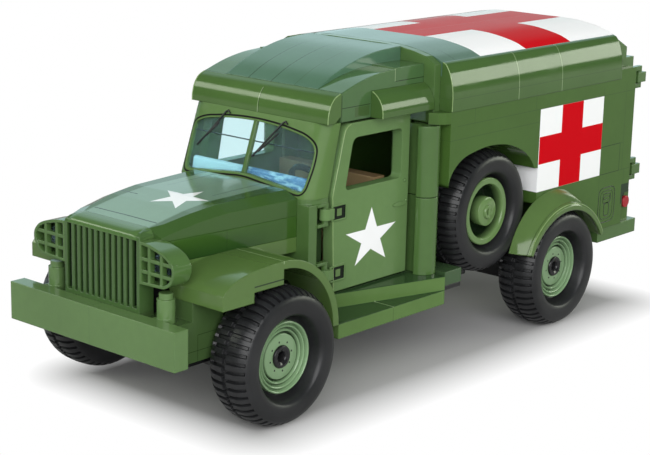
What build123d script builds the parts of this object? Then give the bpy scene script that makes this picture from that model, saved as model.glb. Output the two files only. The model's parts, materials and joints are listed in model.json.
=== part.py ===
from build123d import *
import math
import os

os.makedirs("parts", exist_ok=True)

# Military ambulance truck, a brick-built toy, in millimetres.
# +X forward, +Y left, +Z up, ground at Z = 0.
# Lengths along the truck are given as s, the distance behind the front bumper face.

LENGTH = 196.0
X_FRONT = LENGTH / 2

# levels
BOARD_Z0 = 16.8
BOARD_Z1 = 20.6
FLOOR_Z0 = 20.6
FLOOR_Z1 = 24.4
FRAME_Z0 = 16.0
BUMPER_Z0 = 19.3
BUMPER_Z1 = 28.9
HOOD_SIDE_Z0 = 40.4
HOOD_SIDE_Z1 = 45.8
SCREEN_BOTTOM_Z = 50.0
HEADER_Z = 68.4
HEADER_TOP_Z = 75.8
RAIL_Z0 = 67.7
WALL_TOP_Z = 70.4
EAVE_Z = 80.0
ROOF_Z = 83.8

# half widths
FRAME_Y = 12.0
BAY_Y = 12.0
HOOD_FRONT_Y = 16.0
HOOD_Y = 20.0
CAB_Y = 24.0
EAVE_Y = 28.0
DOOR_OUT_Y = 24.2
DOOR_T = 3.2
BODY_Y = 31.6
LINING_Y = 18.7
LINING_T = 3.2
FENDER_Y = 34.0
RAIL_Y = 29.4
RIDGE_Y = 15.0

# stations along the truck
BUMPER_T = 4.3
GRILLE_S = 4.0
FLOOR_S0 = 6.7
HOOD_S0 = 8.6
HOOD_S1 = 50.6
SCREEN_S0 = HOOD_S1
SCREEN_D = 7.0
SCREEN_T = 1.4
SCREEN_R = 4.5
COWL_D = 3.0
HEADER_S = 57.0
HEADER_S1 = 61.8
BODY_S0 = 94.4
WALL_S0 = 97.0
ROOF_S1 = 179.5
BODY_S1 = 188.0
POST_S1 = 191.2

# wheels
AXLE_S = {"front": 30.7, "rear": 146.0}
TYRE_R = 17.1
TYRE_W = 12.6
TYRE_OUT_Y = 37.5
RIM_R = 9.0
RIM_FACE = 2.8
PIN_R = 2.2
BORE_R = 2.26
PIN_END_Y = TYRE_OUT_Y - 5.6
BLOCK_HALF_S = 6.0
BLOCK_HALF_Y = 20.0
BLOCK_Z0 = 12.0
BLOCK_Z1 = FLOOR_Z0 - 0.1
HUB_IN = TYRE_OUT_Y - BLOCK_HALF_Y - 0.5

# spare wheel
SPARE_S = 117.4
SPARE_Z = 37.4
SPARE_OUT_Y = BODY_Y - 0.1

# front fender arch
ARCH_S = 31.0
ARCH_Z = 20.5
ARCH_R1 = 20.2
ARCH_R0 = 18.2
SKIRT_Z = 35.0

# rear fender, at the wall and at its outer edge
RARCH_S = 146.5
RARCH_Z = 18.0
RARCH_R = 21.3
REDGE_S = 147.1
REDGE_Z = 14.3
REDGE_R = 20.6
RARCH_T = 1.3

# cab doors
DOOR_S1 = 89.2
DOOR_Z0 = 25.0
DOOR_Z1 = 67.8
DOOR_PIN_S = 57.0
DOOR_PIN_Y = 23.6
CLIP_R = 1.6
CLIP_H = 3.0
DOOR_CLIPS = (29.4, 44.6)
BELT_Z = 49.6

# column behind each cab door
COLUMN_S = 93.2
COLUMN_Y = 26.6
COLUMN_R = 3.7
COLUMN_Z1 = 64.4

# rear doors
RDOOR_Z0 = 25.0
RDOOR_Z1 = 69.8
RDOOR_Y = 24.6
RDOOR_PIN_S = LENGTH - CLIP_R
RDOOR_PIN_Y = 28.6
RDOOR_CLIPS = (36.6, 65.0)


def xs(s):
    return X_FRONT - s


def blk(s0, s1, y0, y1, z0, z1):
    return Pos((xs(s0) + xs(s1)) / 2, (y0 + y1) / 2, (z0 + z1) / 2) * Box(s1 - s0, y1 - y0, z1 - z0)


def side_prism(pts, y0, y1):
    """Polygon of (s, z) points carried across from y0 to y1."""
    wire = Polyline(*[(xs(s), y0, z) for s, z in pts], close=True)
    return extrude(make_face(wire), amount=y1 - y0, dir=(0, 1, 0))


def cross_prism(pts, s0, s1):
    """Polygon of (y, z) points carried back from s0 to s1."""
    wire = Polyline(*[(xs(s1), y, z) for y, z in pts], close=True)
    return extrude(make_face(wire), amount=s1 - s0, dir=(1, 0, 0))


def plan_prism(pts, z0, z1):
    """Polygon of (s, y) points carried up from z0 to z1."""
    wire = Polyline(*[(xs(s), y, z0) for s, y in pts], close=True)
    return extrude(make_face(wire), amount=z1 - z0, dir=(0, 0, 1))


def cyl_y(s, z, r, y0, y1):
    return Pos(xs(s), (y0 + y1) / 2, z) * Rot(90, 0, 0) * Cylinder(r, y1 - y0)


def cyl_z(s, y, r, z0, z1):
    return Pos(xs(s), y, (z0 + z1) / 2) * Cylinder(r, z1 - z0)


def flip(shape):
    return mirror(shape, about=Plane.XZ)


def save(name, shape):
    export_step(shape, "parts/" + name + ".step")


def both(name, shape):
    save(name + "_left", shape)
    save(name + "_right", flip(shape))


def spin(pts, s, z):
    """Closed (r, y) outline turned about the wheel axis."""
    wire = Polyline(*[(xs(s) + r, y, z) for r, y in pts], close=True)
    return revolve(make_face(wire), axis=Axis((xs(s), 0, z), (0, 1, 0)), revolution_arc=360)


# tyre outline as (radius, distance inward from the outer sidewall plane)
TYRE_OUTLINE = [
    (RIM_R, 3.0),
    (10.4, 2.4),
    (11.6, 0.6),
    (13.2, 0.0),
    (15.2, 0.4),
    (16.4, 1.4),
    (TYRE_R, 3.0),
    (TYRE_R, TYRE_W - 3.0),
    (16.4, TYRE_W - 1.4),
    (15.2, TYRE_W - 0.4),
    (13.2, TYRE_W),
    (11.6, TYRE_W - 0.6),
    (10.4, TYRE_W - 2.4),
    (RIM_R, TYRE_W - 3.0),
]

# rim outline as (radius, distance inward from the outer sidewall plane)
RIM_OUTLINE = [
    (BORE_R, 4.4),
    (2.9, 4.4),
    (3.1, 3.8),
    (5.6, 3.8),
    (6.0, 4.6),
    (6.9, 4.6),
    (7.1, 3.6),
    (7.9, RIM_FACE),
    (8.5, RIM_FACE),
    (RIM_R, 3.0),
    (RIM_R, TYRE_W - 3.0),
    (7.9, TYRE_W - 3.0),
    (7.2, 7.4),
    (4.6, 7.4),
    (4.6, HUB_IN),
    (BORE_R, HUB_IN),
]

# deep dished rim of the spare wheel, which shows its inner face
SPARE_RIM_OUTLINE = [
    (PIN_R, 1.6),
    (3.6, 1.6),
    (3.9, 2.2),
    (3.9, 7.6),
    (6.9, 7.6),
    (7.4, 2.6),
    (7.8, 2.0),
    (8.7, 2.0),
    (RIM_R, 3.0),
    (RIM_R, TYRE_W - 3.0),
    (7.9, TYRE_W - 3.0),
    (7.2, 9.6),
    (4.6, 9.6),
    (4.6, SPARE_OUT_Y - LINING_Y),
    (PIN_R, SPARE_OUT_Y - LINING_Y),
]


def wheel(name, s, side):
    tyre = spin([(r, TYRE_OUT_Y - d) for r, d in TYRE_OUTLINE], s, TYRE_R)
    rim = spin([(r, TYRE_OUT_Y - d) for r, d in RIM_OUTLINE], s, TYRE_R)
    if side == "right":
        tyre = flip(tyre)
        rim = flip(rim)
    save("tyre_" + name, tyre)
    save("rim_" + name, rim)


wheel("front_left", AXLE_S["front"], "left")
wheel("front_right", AXLE_S["front"], "right")
wheel("rear_left", AXLE_S["rear"], "left")
wheel("rear_right", AXLE_S["rear"], "right")

# axle blocks with their wheel pins
blocks = {}
for end, s in AXLE_S.items():
    blocks[end] = blk(s - BLOCK_HALF_S, s + BLOCK_HALF_S, -BLOCK_HALF_Y, BLOCK_HALF_Y, BLOCK_Z0, BLOCK_Z1)
    pin = cyl_y(s, TYRE_R, PIN_R, BLOCK_HALF_Y, PIN_END_Y)
    save("axle_" + end, blocks[end] + pin + flip(pin))

# chassis
frame = blk(FLOOR_S0, BODY_S1, -FRAME_Y, FRAME_Y, FRAME_Z0, FLOOR_Z0)
for block in blocks.values():
    frame -= block
save("chassis_frame", frame)

# floor plate, narrow at both axles
FLOOR_Y = 27.6
floor = blk(FLOOR_S0, HOOD_S1 + COWL_D, -HOOD_Y, HOOD_Y, FLOOR_Z0, FLOOR_Z1)
floor += blk(HOOD_S1 + COWL_D, WALL_S0, -CAB_Y, CAB_Y, FLOOR_Z0, FLOOR_Z1)
floor += blk(WALL_S0, 170.0, -LINING_Y, LINING_Y, FLOOR_Z0, FLOOR_Z1)
floor += blk(170.0, BODY_S1, -FLOOR_Y, FLOOR_Y, FLOOR_Z0, FLOOR_Z1)
sill = blk(WALL_S0, 104.3, LINING_Y, BODY_Y, FLOOR_Z0, FLOOR_Z1)
save("floor_plate", floor + sill + flip(sill))

# bumper and the two posts behind it
POST_Y = 19.4
post = blk(BUMPER_T, FLOOR_S0, POST_Y - PIN_R, POST_Y + PIN_R, BUMPER_Z0, BUMPER_Z1)
post += cyl_z(FLOOR_S0, POST_Y, PIN_R, FLOOR_Z1, 33.6) + cyl_z(FLOOR_S0, POST_Y, 1.7, 33.6, 35.0)
save("front_bumper", blk(0, BUMPER_T, -29.3, 29.3, BUMPER_Z0, BUMPER_Z1) + post + flip(post))

# deck block behind the bumper, with a cheek up to each front fender
DECK_Y = CAB_Y
DECK_Z0 = 17.9
DECK_Z1 = 27.9
DECK_S1 = 10.8
deck = blk(BUMPER_T, DECK_S1, -DECK_Y, DECK_Y, DECK_Z0, DECK_Z1)
deck += blk(BUMPER_T, HOOD_S0, -13.2, 13.2, DECK_Z1, BUMPER_Z1)
cheek = blk(DECK_S1, 21.0, HOOD_FRONT_Y + 0.2, DECK_Y, DECK_Z0, 32.5)
deck += cheek + flip(cheek)
deck -= blk(FLOOR_S0, 21.0, -HOOD_Y, HOOD_Y, FLOOR_Z0, FLOOR_Z1)
deck -= blk(FLOOR_S0, 21.0, -FRAME_Y, FRAME_Y, FRAME_Z0, FLOOR_Z0)
deck -= blk(HOOD_S0, 21.0, -BAY_Y, BAY_Y, FLOOR_Z1, HOOD_SIDE_Z1)
for solid in (post, flip(post)):
    deck -= solid
save("front_deck", deck)

# radiator block behind the grille
save("radiator_block", blk(HOOD_S0, 18.0, -BAY_Y, BAY_Y, FLOOR_Z1, HOOD_SIDE_Z1))

# grille: frame, bars and rounded cowl
GRILLE_Z0 = BUMPER_Z1
GRILLE_Z1 = 46.4
GRILLE_Y = 13.2
GRILLE_EDGE = 0.9
BARS = 11
BAR_T = 1.0
SLOT_Z0 = 30.0
slot_s1 = HOOD_S0 - 1.2
grille = blk(GRILLE_S, HOOD_S0, -GRILLE_Y, GRILLE_Y, GRILLE_Z0, GRILLE_Z1)
grille -= blk(GRILLE_S, slot_s1, -GRILLE_Y + GRILLE_EDGE, GRILLE_Y - GRILLE_EDGE, SLOT_Z0, GRILLE_Z1)
gap = 2 * (GRILLE_Y - GRILLE_EDGE) / (BARS + 1)
for i in range(BARS):
    y = -GRILLE_Y + GRILLE_EDGE + gap * (i + 1)
    grille += blk(GRILLE_S, slot_s1, y - BAR_T / 2, y + BAR_T / 2, SLOT_Z0, GRILLE_Z1)
cowl = side_prism([(GRILLE_S, GRILLE_Z1), (4.3, 47.3), (5.2, 48.0), (6.6, 48.4), (HOOD_S0, 48.6),
                   (HOOD_S0, GRILLE_Z1)], -GRILLE_Y, GRILLE_Y)
cowl &= cross_prism([(-GRILLE_Y, 40.0), (GRILLE_Y, 40.0), (GRILLE_Y, 47.2), (12.4, 48.2), (10.8, 48.7),
                     (-10.8, 48.7), (-12.4, 48.2), (-GRILLE_Y, 47.2)], GRILLE_S, HOOD_S0)
save("grille", grille + cowl)

# headlight guards and lenses, outlines as (y, z)
GUARD = [(GRILLE_Y, 46.5), (15.9, 46.4), (20.6, 45.3), (23.0, 44.2), (24.7, 42.3), (24.9, 40.4), (23.9, 38.0),
         (21.6, 36.6), (GRILLE_Y, 36.3)]
GUARD_IN = [(13.9, 45.8), (15.8, 45.7), (20.4, 44.6), (22.6, 43.6), (24.0, 42.1), (24.2, 40.5), (23.3, 38.5),
            (21.3, 37.3), (13.9, 37.0)]
bars = blk(GRILLE_S, 5.0, 15.8, 16.4, 36.0, 47.0) + blk(GRILLE_S, 5.0, 20.2, 20.8, 36.0, 47.0)
bars += blk(GRILLE_S, 5.0, 13.0, 25.0, 38.8, 39.4) + blk(GRILLE_S, 5.0, 13.0, 25.0, 42.4, 43.0)
guard = cross_prism(GUARD, GRILLE_S, HOOD_S0) - cross_prism(GUARD_IN, GRILLE_S, HOOD_S0 - 1.4)
guard += bars & cross_prism(GUARD_IN, GRILLE_S, 5.0)
guard += cross_prism(GUARD, HOOD_S0, 9.8) - blk(HOOD_S0, 9.8, 0, HOOD_FRONT_Y + 0.4, 30.0, 50.0)
both("headlight_guard", guard)
LENS_Y = 18.3
LENS_Z = 41.0
both("headlight_lens", Pos(xs(HOOD_S0 - 1.9), LENS_Y, LENS_Z) * Rot(0, 90, 0) * Cylinder(3.0, 1.0))

# bonnet top as cross sections: station, shoulder y and z, edge y and z, centre z
HOOD_SECTIONS = [
    (HOOD_S0, 11.5, 48.5, HOOD_FRONT_Y, 46.9, 48.6),
    (12.0, 13.0, 49.1, 16.5, 47.8, 49.2),
    (20.0, 14.0, 50.6, 17.3, 49.2, 50.8),
    (28.0, 14.4, 51.5, 18.0, 50.0, 51.8),
    (HOOD_S1, 16.0, 51.8, HOOD_Y, 50.2, 52.3),
]
faces = []
for s, ys, zs, ye, ze, zc in HOOD_SECTIONS:
    pts = [(-ye, HOOD_SIDE_Z1), (ye, HOOD_SIDE_Z1), (ye, ze), (ys, zs), (0, zc), (-ys, zs), (-ye, ze)]
    faces.append(make_face(Polyline(*[(xs(s), y, z) for y, z in pts], close=True)))
hood = loft(faces[:2], ruled=True)
for k in range(1, len(faces) - 1):
    hood += loft(faces[k:k + 2], ruled=True)
save("hood_top", hood)
HOOD_PLAN = [(s, ye) for s, ys, zs, ye, ze, zc in HOOD_SECTIONS] + [(HOOD_S1, BAY_Y), (HOOD_S0, BAY_Y)]
both("hood_side", plan_prism(HOOD_PLAN, HOOD_SIDE_Z0, HOOD_SIDE_Z1))

# front fenders
ARC = [math.radians(a) for a in range(90, -1, -5)]
outer = [(ARCH_S + ARCH_R1 * math.cos(a), ARCH_Z + ARCH_R1 * math.sin(a)) for a in ARC]
inner = [(ARCH_S + ARCH_R0 * math.cos(a), ARCH_Z + ARCH_R0 * math.sin(a)) for a in reversed(ARC)]
fender = side_prism(outer + inner, HOOD_FRONT_Y, FENDER_Y)
fender += side_prism([(10.7, 32.5), (10.7, 36.4), (13.0, 38.2), (16.0, 39.4), (20.0, 40.2),
                      (ARCH_S, ARCH_Z + ARCH_R1), (ARCH_S, SKIRT_Z), (21.0, SKIRT_Z), (21.0, 32.5)],
                     HOOD_FRONT_Y, FENDER_Y)
fender += plan_prism(HOOD_PLAN, 36.6, HOOD_SIDE_Z0)
fender -= plan_prism(HOOD_PLAN, HOOD_SIDE_Z0, HOOD_SIDE_Z1)
fender -= blk(HOOD_S1, HOOD_S1 + COWL_D, 0, CAB_Y, FLOOR_Z0, SCREEN_BOTTOM_Z)
fender -= blk(FLOOR_S0, HOOD_S1, 0, HOOD_Y, FLOOR_Z0, FLOOR_Z1)
fender -= blk(GRILLE_S, 18.0, 0, BAY_Y, FLOOR_Z1, HOOD_SIDE_Z1)
both("front_fender", fender)

# running boards
BOARD_S0 = ARCH_S + ARCH_R1
board = blk(BOARD_S0, WALL_S0 - 3.0, HOOD_Y, FENDER_Y, BOARD_Z0, BOARD_Z1)
board += plan_prism([(HOOD_S1 + COWL_D, CAB_Y), (WALL_S0 - 3.0, CAB_Y), (WALL_S0 - 3.0, FENDER_Y),
                     (61.0, CAB_Y + 0.4)], BOARD_Z1, FLOOR_Z1)
both("running_board", board)

# windscreen: a slanted hood with rounded front corners, open at the back
def screen_plan(s0, s1, y, r, z):
    pts = []
    for i in range(6):
        a = math.radians(18 * i)
        pts.append((s0 + r * (1 - math.cos(a)), y - r + r * math.sin(a)))
    pts += [(s1, y)]
    pts += [(s, -q) for s, q in reversed(pts)]
    return make_face(Polyline(*[(xs(s), q, z) for s, q in pts], close=True))


SCREEN_S1 = SCREEN_S0 + SCREEN_D
screen = loft([screen_plan(SCREEN_S0, SCREEN_S1, CAB_Y, SCREEN_R, SCREEN_BOTTOM_Z),
               screen_plan(HEADER_S, HEADER_S1, CAB_Y, SCREEN_R, HEADER_Z)], ruled=True)
screen -= loft([screen_plan(SCREEN_S0 + SCREEN_T, SCREEN_S1 + 1.0, CAB_Y - SCREEN_T, SCREEN_R - SCREEN_T,
                            SCREEN_BOTTOM_Z),
                screen_plan(HEADER_S + SCREEN_T, HEADER_S1 + 1.0, CAB_Y - SCREEN_T, SCREEN_R - SCREEN_T,
                            HEADER_Z)], ruled=True)
GLASS = [(0, 53.4), (19.6, 51.7), (21.2, 53.6), (21.5, 58.6), (20.9, 62.2), (17.8, 64.5), (9.0, 65.9), (0, 66.3)]
opening = cross_prism(GLASS + [(-y, z) for y, z in reversed(GLASS[1:-1])], SCREEN_S0 - 2.0, HEADER_S1)
screen -= opening
save("windscreen_frame", screen)
pane = side_prism([(SCREEN_S0 + 0.4, SCREEN_BOTTOM_Z), (HEADER_S + 0.4, HEADER_Z), (HEADER_S + 1.2, HEADER_Z),
                   (SCREEN_S0 + 1.2, SCREEN_BOTTOM_Z)], -CAB_Y, CAB_Y)
save("windscreen_glass", pane & opening)

# cab roof
ROOF_IN_Y = 16.0
header = side_prism([(HEADER_S, HEADER_Z), (57.5, 71.4), (58.9, 74.0), (60.6, 75.4), (HEADER_S1, HEADER_TOP_Z),
                     (HEADER_S1, HEADER_Z)], -CAB_Y, CAB_Y)
save("cab_roof_header", header)
roof = side_prism([(HEADER_S1, 73.0), (HEADER_S1, 76.0), (68.0, 78.9), (76.0, 81.5), (84.0, 83.1), (BODY_S0, ROOF_Z),
                   (BODY_S0, 73.0)], -ROOF_IN_Y, ROOF_IN_Y)
save("cab_roof_centre", roof)
low = side_prism([(HEADER_S1, HEADER_Z), (HEADER_S1, HEADER_TOP_Z), (69.0, 78.0), (76.0, 79.3), (82.8, EAVE_Z - 0.2),
                  (82.8, EAVE_Z), (BODY_S0, EAVE_Z), (BODY_S0, HEADER_Z)], ROOF_IN_Y, CAB_Y)
eave = cross_prism([(CAB_Y, HEADER_Z), (EAVE_Y, HEADER_Z), (EAVE_Y - 0.3, 70.8), (26.4, 73.4),
                    (CAB_Y, 75.2)], 73.2, BODY_S0)
both("cab_roof_side", low + eave)

# cab doors: lower panel and window frame
door = side_prism([(60.0, DOOR_Z0), (58.9, 48.4), (58.5, 50.6), (62.6, 65.8), (64.0, DOOR_Z1), (DOOR_S1, DOOR_Z1),
                   (DOOR_S1, DOOR_Z0)], DOOR_OUT_Y - DOOR_T, DOOR_OUT_Y)
door -= side_prism([(64.2, 51.2), (66.6, 64.0), (86.0, 64.0), (86.0, 51.2)], 0, DOOR_OUT_Y)
CLIP_ARM = 6.0
for z0 in DOOR_CLIPS:
    door -= blk(DOOR_PIN_S - 5.0, DOOR_PIN_S + 2.6, DOOR_OUT_Y - DOOR_T, DOOR_OUT_Y, z0 - 2.2, z0 + CLIP_H + 2.2)
    clip = cyl_z(DOOR_PIN_S, DOOR_PIN_Y, CLIP_R, z0, z0 + CLIP_H)
    clip += blk(DOOR_PIN_S, DOOR_PIN_S + CLIP_ARM, DOOR_OUT_Y - 1.2, DOOR_PIN_Y + CLIP_R, z0, z0 + CLIP_H)
    clip -= cyl_z(DOOR_PIN_S, DOOR_PIN_Y, 0.95, z0 - 1, z0 + CLIP_H + 1)
    door += clip
both("cab_door", door)

# cowl block under the windscreen, with the hinge pillars and hinge bars
cowl_s1 = HOOD_S1 + COWL_D
pillar = blk(cowl_s1, cowl_s1 + 1.2, HOOD_Y - 3.0, CAB_Y - 1.0, FLOOR_Z1, SCREEN_BOTTOM_Z)
for z0 in DOOR_CLIPS:
    pillar += cyl_z(DOOR_PIN_S, DOOR_PIN_Y, 0.9, z0 - 1.8, z0 + CLIP_H + 1.2)
    for z in (z0 - 1.8, z0 + CLIP_H + 0.4):
        pillar += blk(cowl_s1, DOOR_PIN_S, DOOR_PIN_Y - 0.8, DOOR_PIN_Y + 0.8, z, z + 0.8)
cowl_block = blk(HOOD_S1, cowl_s1, -CAB_Y, CAB_Y, FLOOR_Z1, SCREEN_BOTTOM_Z - 1.2)
ledge = blk(HOOD_S1, SCREEN_S1, -CAB_Y, CAB_Y, SCREEN_BOTTOM_Z - 1.2, SCREEN_BOTTOM_Z)
ledge -= blk(cowl_s1, SCREEN_S1, 3.0 - CAB_Y, CAB_Y - 3.0, SCREEN_BOTTOM_Z - 1.2, SCREEN_BOTTOM_Z)
ledge &= extrude(screen_plan(SCREEN_S0, SCREEN_S1, CAB_Y, SCREEN_R, SCREEN_BOTTOM_Z - 1.2), amount=1.2, dir=(0, 0, 1))
save("scuttle", cowl_block + ledge + pillar + flip(pillar))

# column behind the door
column = blk(COLUMN_S - 1.6, COLUMN_S + COLUMN_R, CAB_Y - 2.0, COLUMN_Y, FLOOR_Z1, COLUMN_Z1)
column += cyl_z(COLUMN_S, COLUMN_Y, COLUMN_R, FLOOR_Z1, COLUMN_Z1) - blk(80, 100, 0, COLUMN_Y, 0, 90)
both("door_column", column)

# bulkhead between cab and body
RAIL_SECTION = [(BODY_Y + 0.2, RAIL_Z0), (BODY_Y + 0.2, 71.4), (31.5, 74.4), (30.7, 77.4), (RAIL_Y, EAVE_Z)]
BULK_Y = 27.6
ROOF_CURVE = [(28.0, EAVE_Z + 0.5), (24.5, ROOF_Z - 1.9), (20.0, ROOF_Z - 0.9), (RIDGE_Y, ROOF_Z - 0.2),
              (9.3, ROOF_Z)]
half = [(LINING_Y, FLOOR_Z1), (LINING_Y, COLUMN_Z1 + 0.2), (BULK_Y, COLUMN_Z1 + 0.2), (BULK_Y, EAVE_Z)]
half += ROOF_CURVE[1:]
bulk = cross_prism(half + [(-y, z) for y, z in reversed(half)], BODY_S0, WALL_S0)
bulk -= blk(BODY_S0, WALL_S0, -14.0, 14.0, 30.0, 66.0)
save("bulkhead", bulk)

# body sides
wall = blk(WALL_S0, BODY_S1, LINING_Y, BODY_Y, FLOOR_Z1, RAIL_Z0)
wall += blk(ROOF_S1, BODY_S1, LINING_Y, BODY_Y, RAIL_Z0, WALL_TOP_Z)
wall += blk(170.0, BODY_S1, FLOOR_Y + 0.4, BODY_Y, 22.8, FLOOR_Z1)
wall -= cyl_y(RARCH_S, RARCH_Z, RARCH_R - RARCH_T, LINING_Y, BODY_Y)
RECESS = [(WALL_S0, FLOOR_Z1), (WALL_S0, 47.2), (98.0, 50.6), (99.6, 52.4), (103.0, 54.5), (108.5, 55.8),
          (114.2, 56.4), (119.1, 56.2), (124.0, 55.4), (128.1, 54.0), (131.7, 52.2), (134.5, 49.9), (136.6, 47.0),
          (138.4, 46.8), (138.4, FLOOR_Z1)]
recess_arch = Spline(*[(xs(s), LINING_Y, z) for s, z in RECESS[1:13]])
recess_sides = Polyline(*[(xs(s), LINING_Y, z) for s, z in RECESS[12:] + RECESS[:2]])
wall -= extrude(make_face(recess_arch.edges() + recess_sides.edges()), amount=BODY_Y - LINING_Y, dir=(0, 1, 0))
wall -= blk(184.6, BODY_S1, BODY_Y - 1.6, BODY_Y, 20.0, 32.2)
wall += blk(184.6, POST_S1 - 0.4, BODY_Y - 2.8, BODY_Y - 1.6, 22.8, 32.2)
cap = plan_prism([(WALL_S0, BULK_Y), (WALL_S0, BODY_Y), (95.4, 31.2), (93.6, 30.0), (92.4, BULK_Y)],
                 COLUMN_Z1 + 0.2, RAIL_Z0)
wall += cap
lining = blk(WALL_S0, BODY_S1, LINING_Y - LINING_T, LINING_Y, FLOOR_Z1, RAIL_Z0)
spare_pin = cyl_y(SPARE_S, SPARE_Z, PIN_R, LINING_Y, SPARE_OUT_Y - 3.0)
save("body_side_left", wall + lining + spare_pin)
save("body_side_right", flip(wall + lining))

# body roof and its side rails
ROOF_UNDER = 76.8
seat_y, seat_z = ROOF_CURVE[0]
under = [(-seat_y, ROOF_UNDER), (seat_y, ROOF_UNDER)]
save("body_roof", cross_prism(under + ROOF_CURVE + [(-y, z) for y, z in reversed(ROOF_CURVE)], WALL_S0, ROOF_S1))
rail = cross_prism([(LINING_Y, RAIL_Z0)] + RAIL_SECTION + [(seat_y, seat_z), (seat_y, ROOF_UNDER),
                                                            (LINING_Y, ROOF_UNDER)], WALL_S0, ROOF_S1)
both("roof_rail", rail)

# rear frame: posts, sloping beam, lintel and hinge bars
BEAM_Y = 28.4
BEAM_S1 = 187.0
LINTEL_Z1 = 73.0
rear_frame = blk(BODY_S1, POST_S1, RDOOR_Y + 0.2, BEAM_Y, FLOOR_Z0, LINTEL_Z1)
for z0 in RDOOR_CLIPS:
    rear_frame += cyl_z(RDOOR_PIN_S, RDOOR_PIN_Y, 0.9, z0 - 1.8, z0 + CLIP_H + 1.8)
    for z in (z0 - 1.8, z0 + CLIP_H + 0.4):
        rear_frame += blk(POST_S1 - 1.0, RDOOR_PIN_S, RDOOR_PIN_Y - 0.8, RDOOR_PIN_Y + 0.8, z, z + 1.4)
rear_frame += flip(rear_frame)
rear_frame += blk(ROOF_S1, POST_S1, -BEAM_Y, BEAM_Y, WALL_TOP_Z, LINTEL_Z1)
rear_frame += side_prism([(ROOF_S1, WALL_TOP_Z), (ROOF_S1, EAVE_Z), (BEAM_S1, 76.2), (BEAM_S1, WALL_TOP_Z)],
                         -BEAM_Y, BEAM_Y)
save("rear_frame", rear_frame)

# rear doors
rdoor = blk(BODY_S1 + 0.2, POST_S1, 0.2, RDOOR_Y, RDOOR_Z0, RDOOR_Z1)
rdoor -= blk(BODY_S1, POST_S1, 6.0, 19.0, 50.0, 62.0)
for z0 in RDOOR_CLIPS:
    clip = blk(POST_S1, RDOOR_PIN_S + CLIP_R, RDOOR_Y - 3.0, RDOOR_PIN_Y, z0, z0 + CLIP_H)
    clip += blk(POST_S1 + 0.4, RDOOR_PIN_S + CLIP_R, RDOOR_PIN_Y, RDOOR_PIN_Y + CLIP_R, z0, z0 + CLIP_H)
    clip -= blk(POST_S1, POST_S1 + 0.4, RDOOR_Y, RDOOR_PIN_Y, z0, z0 + CLIP_H)
    clip -= cyl_z(RDOOR_PIN_S, RDOOR_PIN_Y, 0.95, z0 - 1, z0 + CLIP_H + 1)
    rdoor += clip
both("rear_door", rdoor)

# rear step
STEP_S0 = 172.6
STEP_S1 = LENGTH - 2.2
step = blk(STEP_S0, STEP_S1, -BODY_Y + 0.4, BODY_Y - 0.4, 18.6, FLOOR_Z0)
step -= blk(STEP_S0, BODY_S1, -FRAME_Y, FRAME_Y, FRAME_Z0, FLOOR_Z0)
cheek = blk(STEP_S0, STEP_S1, FLOOR_Y + 0.8, BODY_Y - 0.4, FLOOR_Z0, 22.8)
step += cheek + flip(cheek)
step += blk(POST_S1 + 0.2, STEP_S1, -FLOOR_Y - 0.8, FLOOR_Y + 0.8, FLOOR_Z0, 22.8)
save("rear_step", step)


def arch_outline(s, z, r, y):
    """Band of an arch at y, cut level at its two feet."""
    low = math.asin((24.2 - z) / r)
    out = [(r, low + (math.pi - 2 * low) * i / 16) for i in range(17)]
    band = [(s + q * math.cos(a), z + q * math.sin(a)) for q, a in out]
    band += [(s + (q - RARCH_T) * math.cos(a), z + (q - RARCH_T) * math.sin(a)) for q, a in reversed(out)]
    return make_face(Polyline(*[(xs(p), y, q) for p, q in band], close=True))


# rear fenders, flaring down and outward from the wall
both("rear_fender", loft([arch_outline(RARCH_S, RARCH_Z, RARCH_R, BODY_Y),
                          arch_outline(REDGE_S, REDGE_Z, REDGE_R, TYRE_OUT_Y)], ruled=True))

# tail lamps
both("tail_lamp", cyl_y(188.3, 28.8, 1.8, BODY_Y - 1.6, BODY_Y - 0.8))

# spare wheel
save("spare_tyre", spin([(r, SPARE_OUT_Y - d) for r, d in TYRE_OUTLINE], SPARE_S, SPARE_Z))
save("spare_rim", spin([(r, SPARE_OUT_Y - d) for r, d in SPARE_RIM_OUTLINE], SPARE_S, SPARE_Z))

# cab inside
DASH_S0 = HOOD_S1 + COWL_D + 1.2
DASH_Y = 20.6
dash = side_prism([(DASH_S0, 44.0), (DASH_S0, SCREEN_BOTTOM_Z), (57.4, SCREEN_BOTTOM_Z), (59.4, 48.0), (59.4, 44.0)],
                  -DASH_Y, DASH_Y)
save("dashboard", dash)
place = Pos(xs(66.0), 10.0, 50.0) * Rot(0, -60, 0)
wheel_ring = place * (Cylinder(6.0, 1.2) - Cylinder(4.8, 1.2))
wheel_ring += place * Box(1.2, 10.4, 1.2)
column_bar = place * Pos(0, 0, -4.5) * Cylinder(1.0, 9.0)
save("steering_wheel", wheel_ring + column_bar - dash)
for name, y in (("left", 10.0), ("right", -10.0)):
    seat = blk(72.0, 84.0, y - 7.0, y + 7.0, FLOOR_Z1, 34.0) + blk(84.0, 88.0, y - 7.0, y + 7.0, FLOOR_Z1, 50.0)
    save("seat_" + name, seat)
BENCH_Y = LINING_Y - LINING_T
bench = blk(110.0, 180.0, BENCH_Y - 8.6, BENCH_Y, FLOOR_Z1, 33.6)
both("bench", bench)
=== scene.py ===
"""Looks of a brick-built toy field ambulance: moulded green plastic, rubber tyres and printed markings.

Places are written as in the part's source, in millimetres: s is the distance behind the front bumper face,
y is to the truck's left and z is up. `place` turns them into the frame's metres.
"""
import json
import math

import bmesh
import bpy
import numpy as np
from mathutils import Matrix


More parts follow.
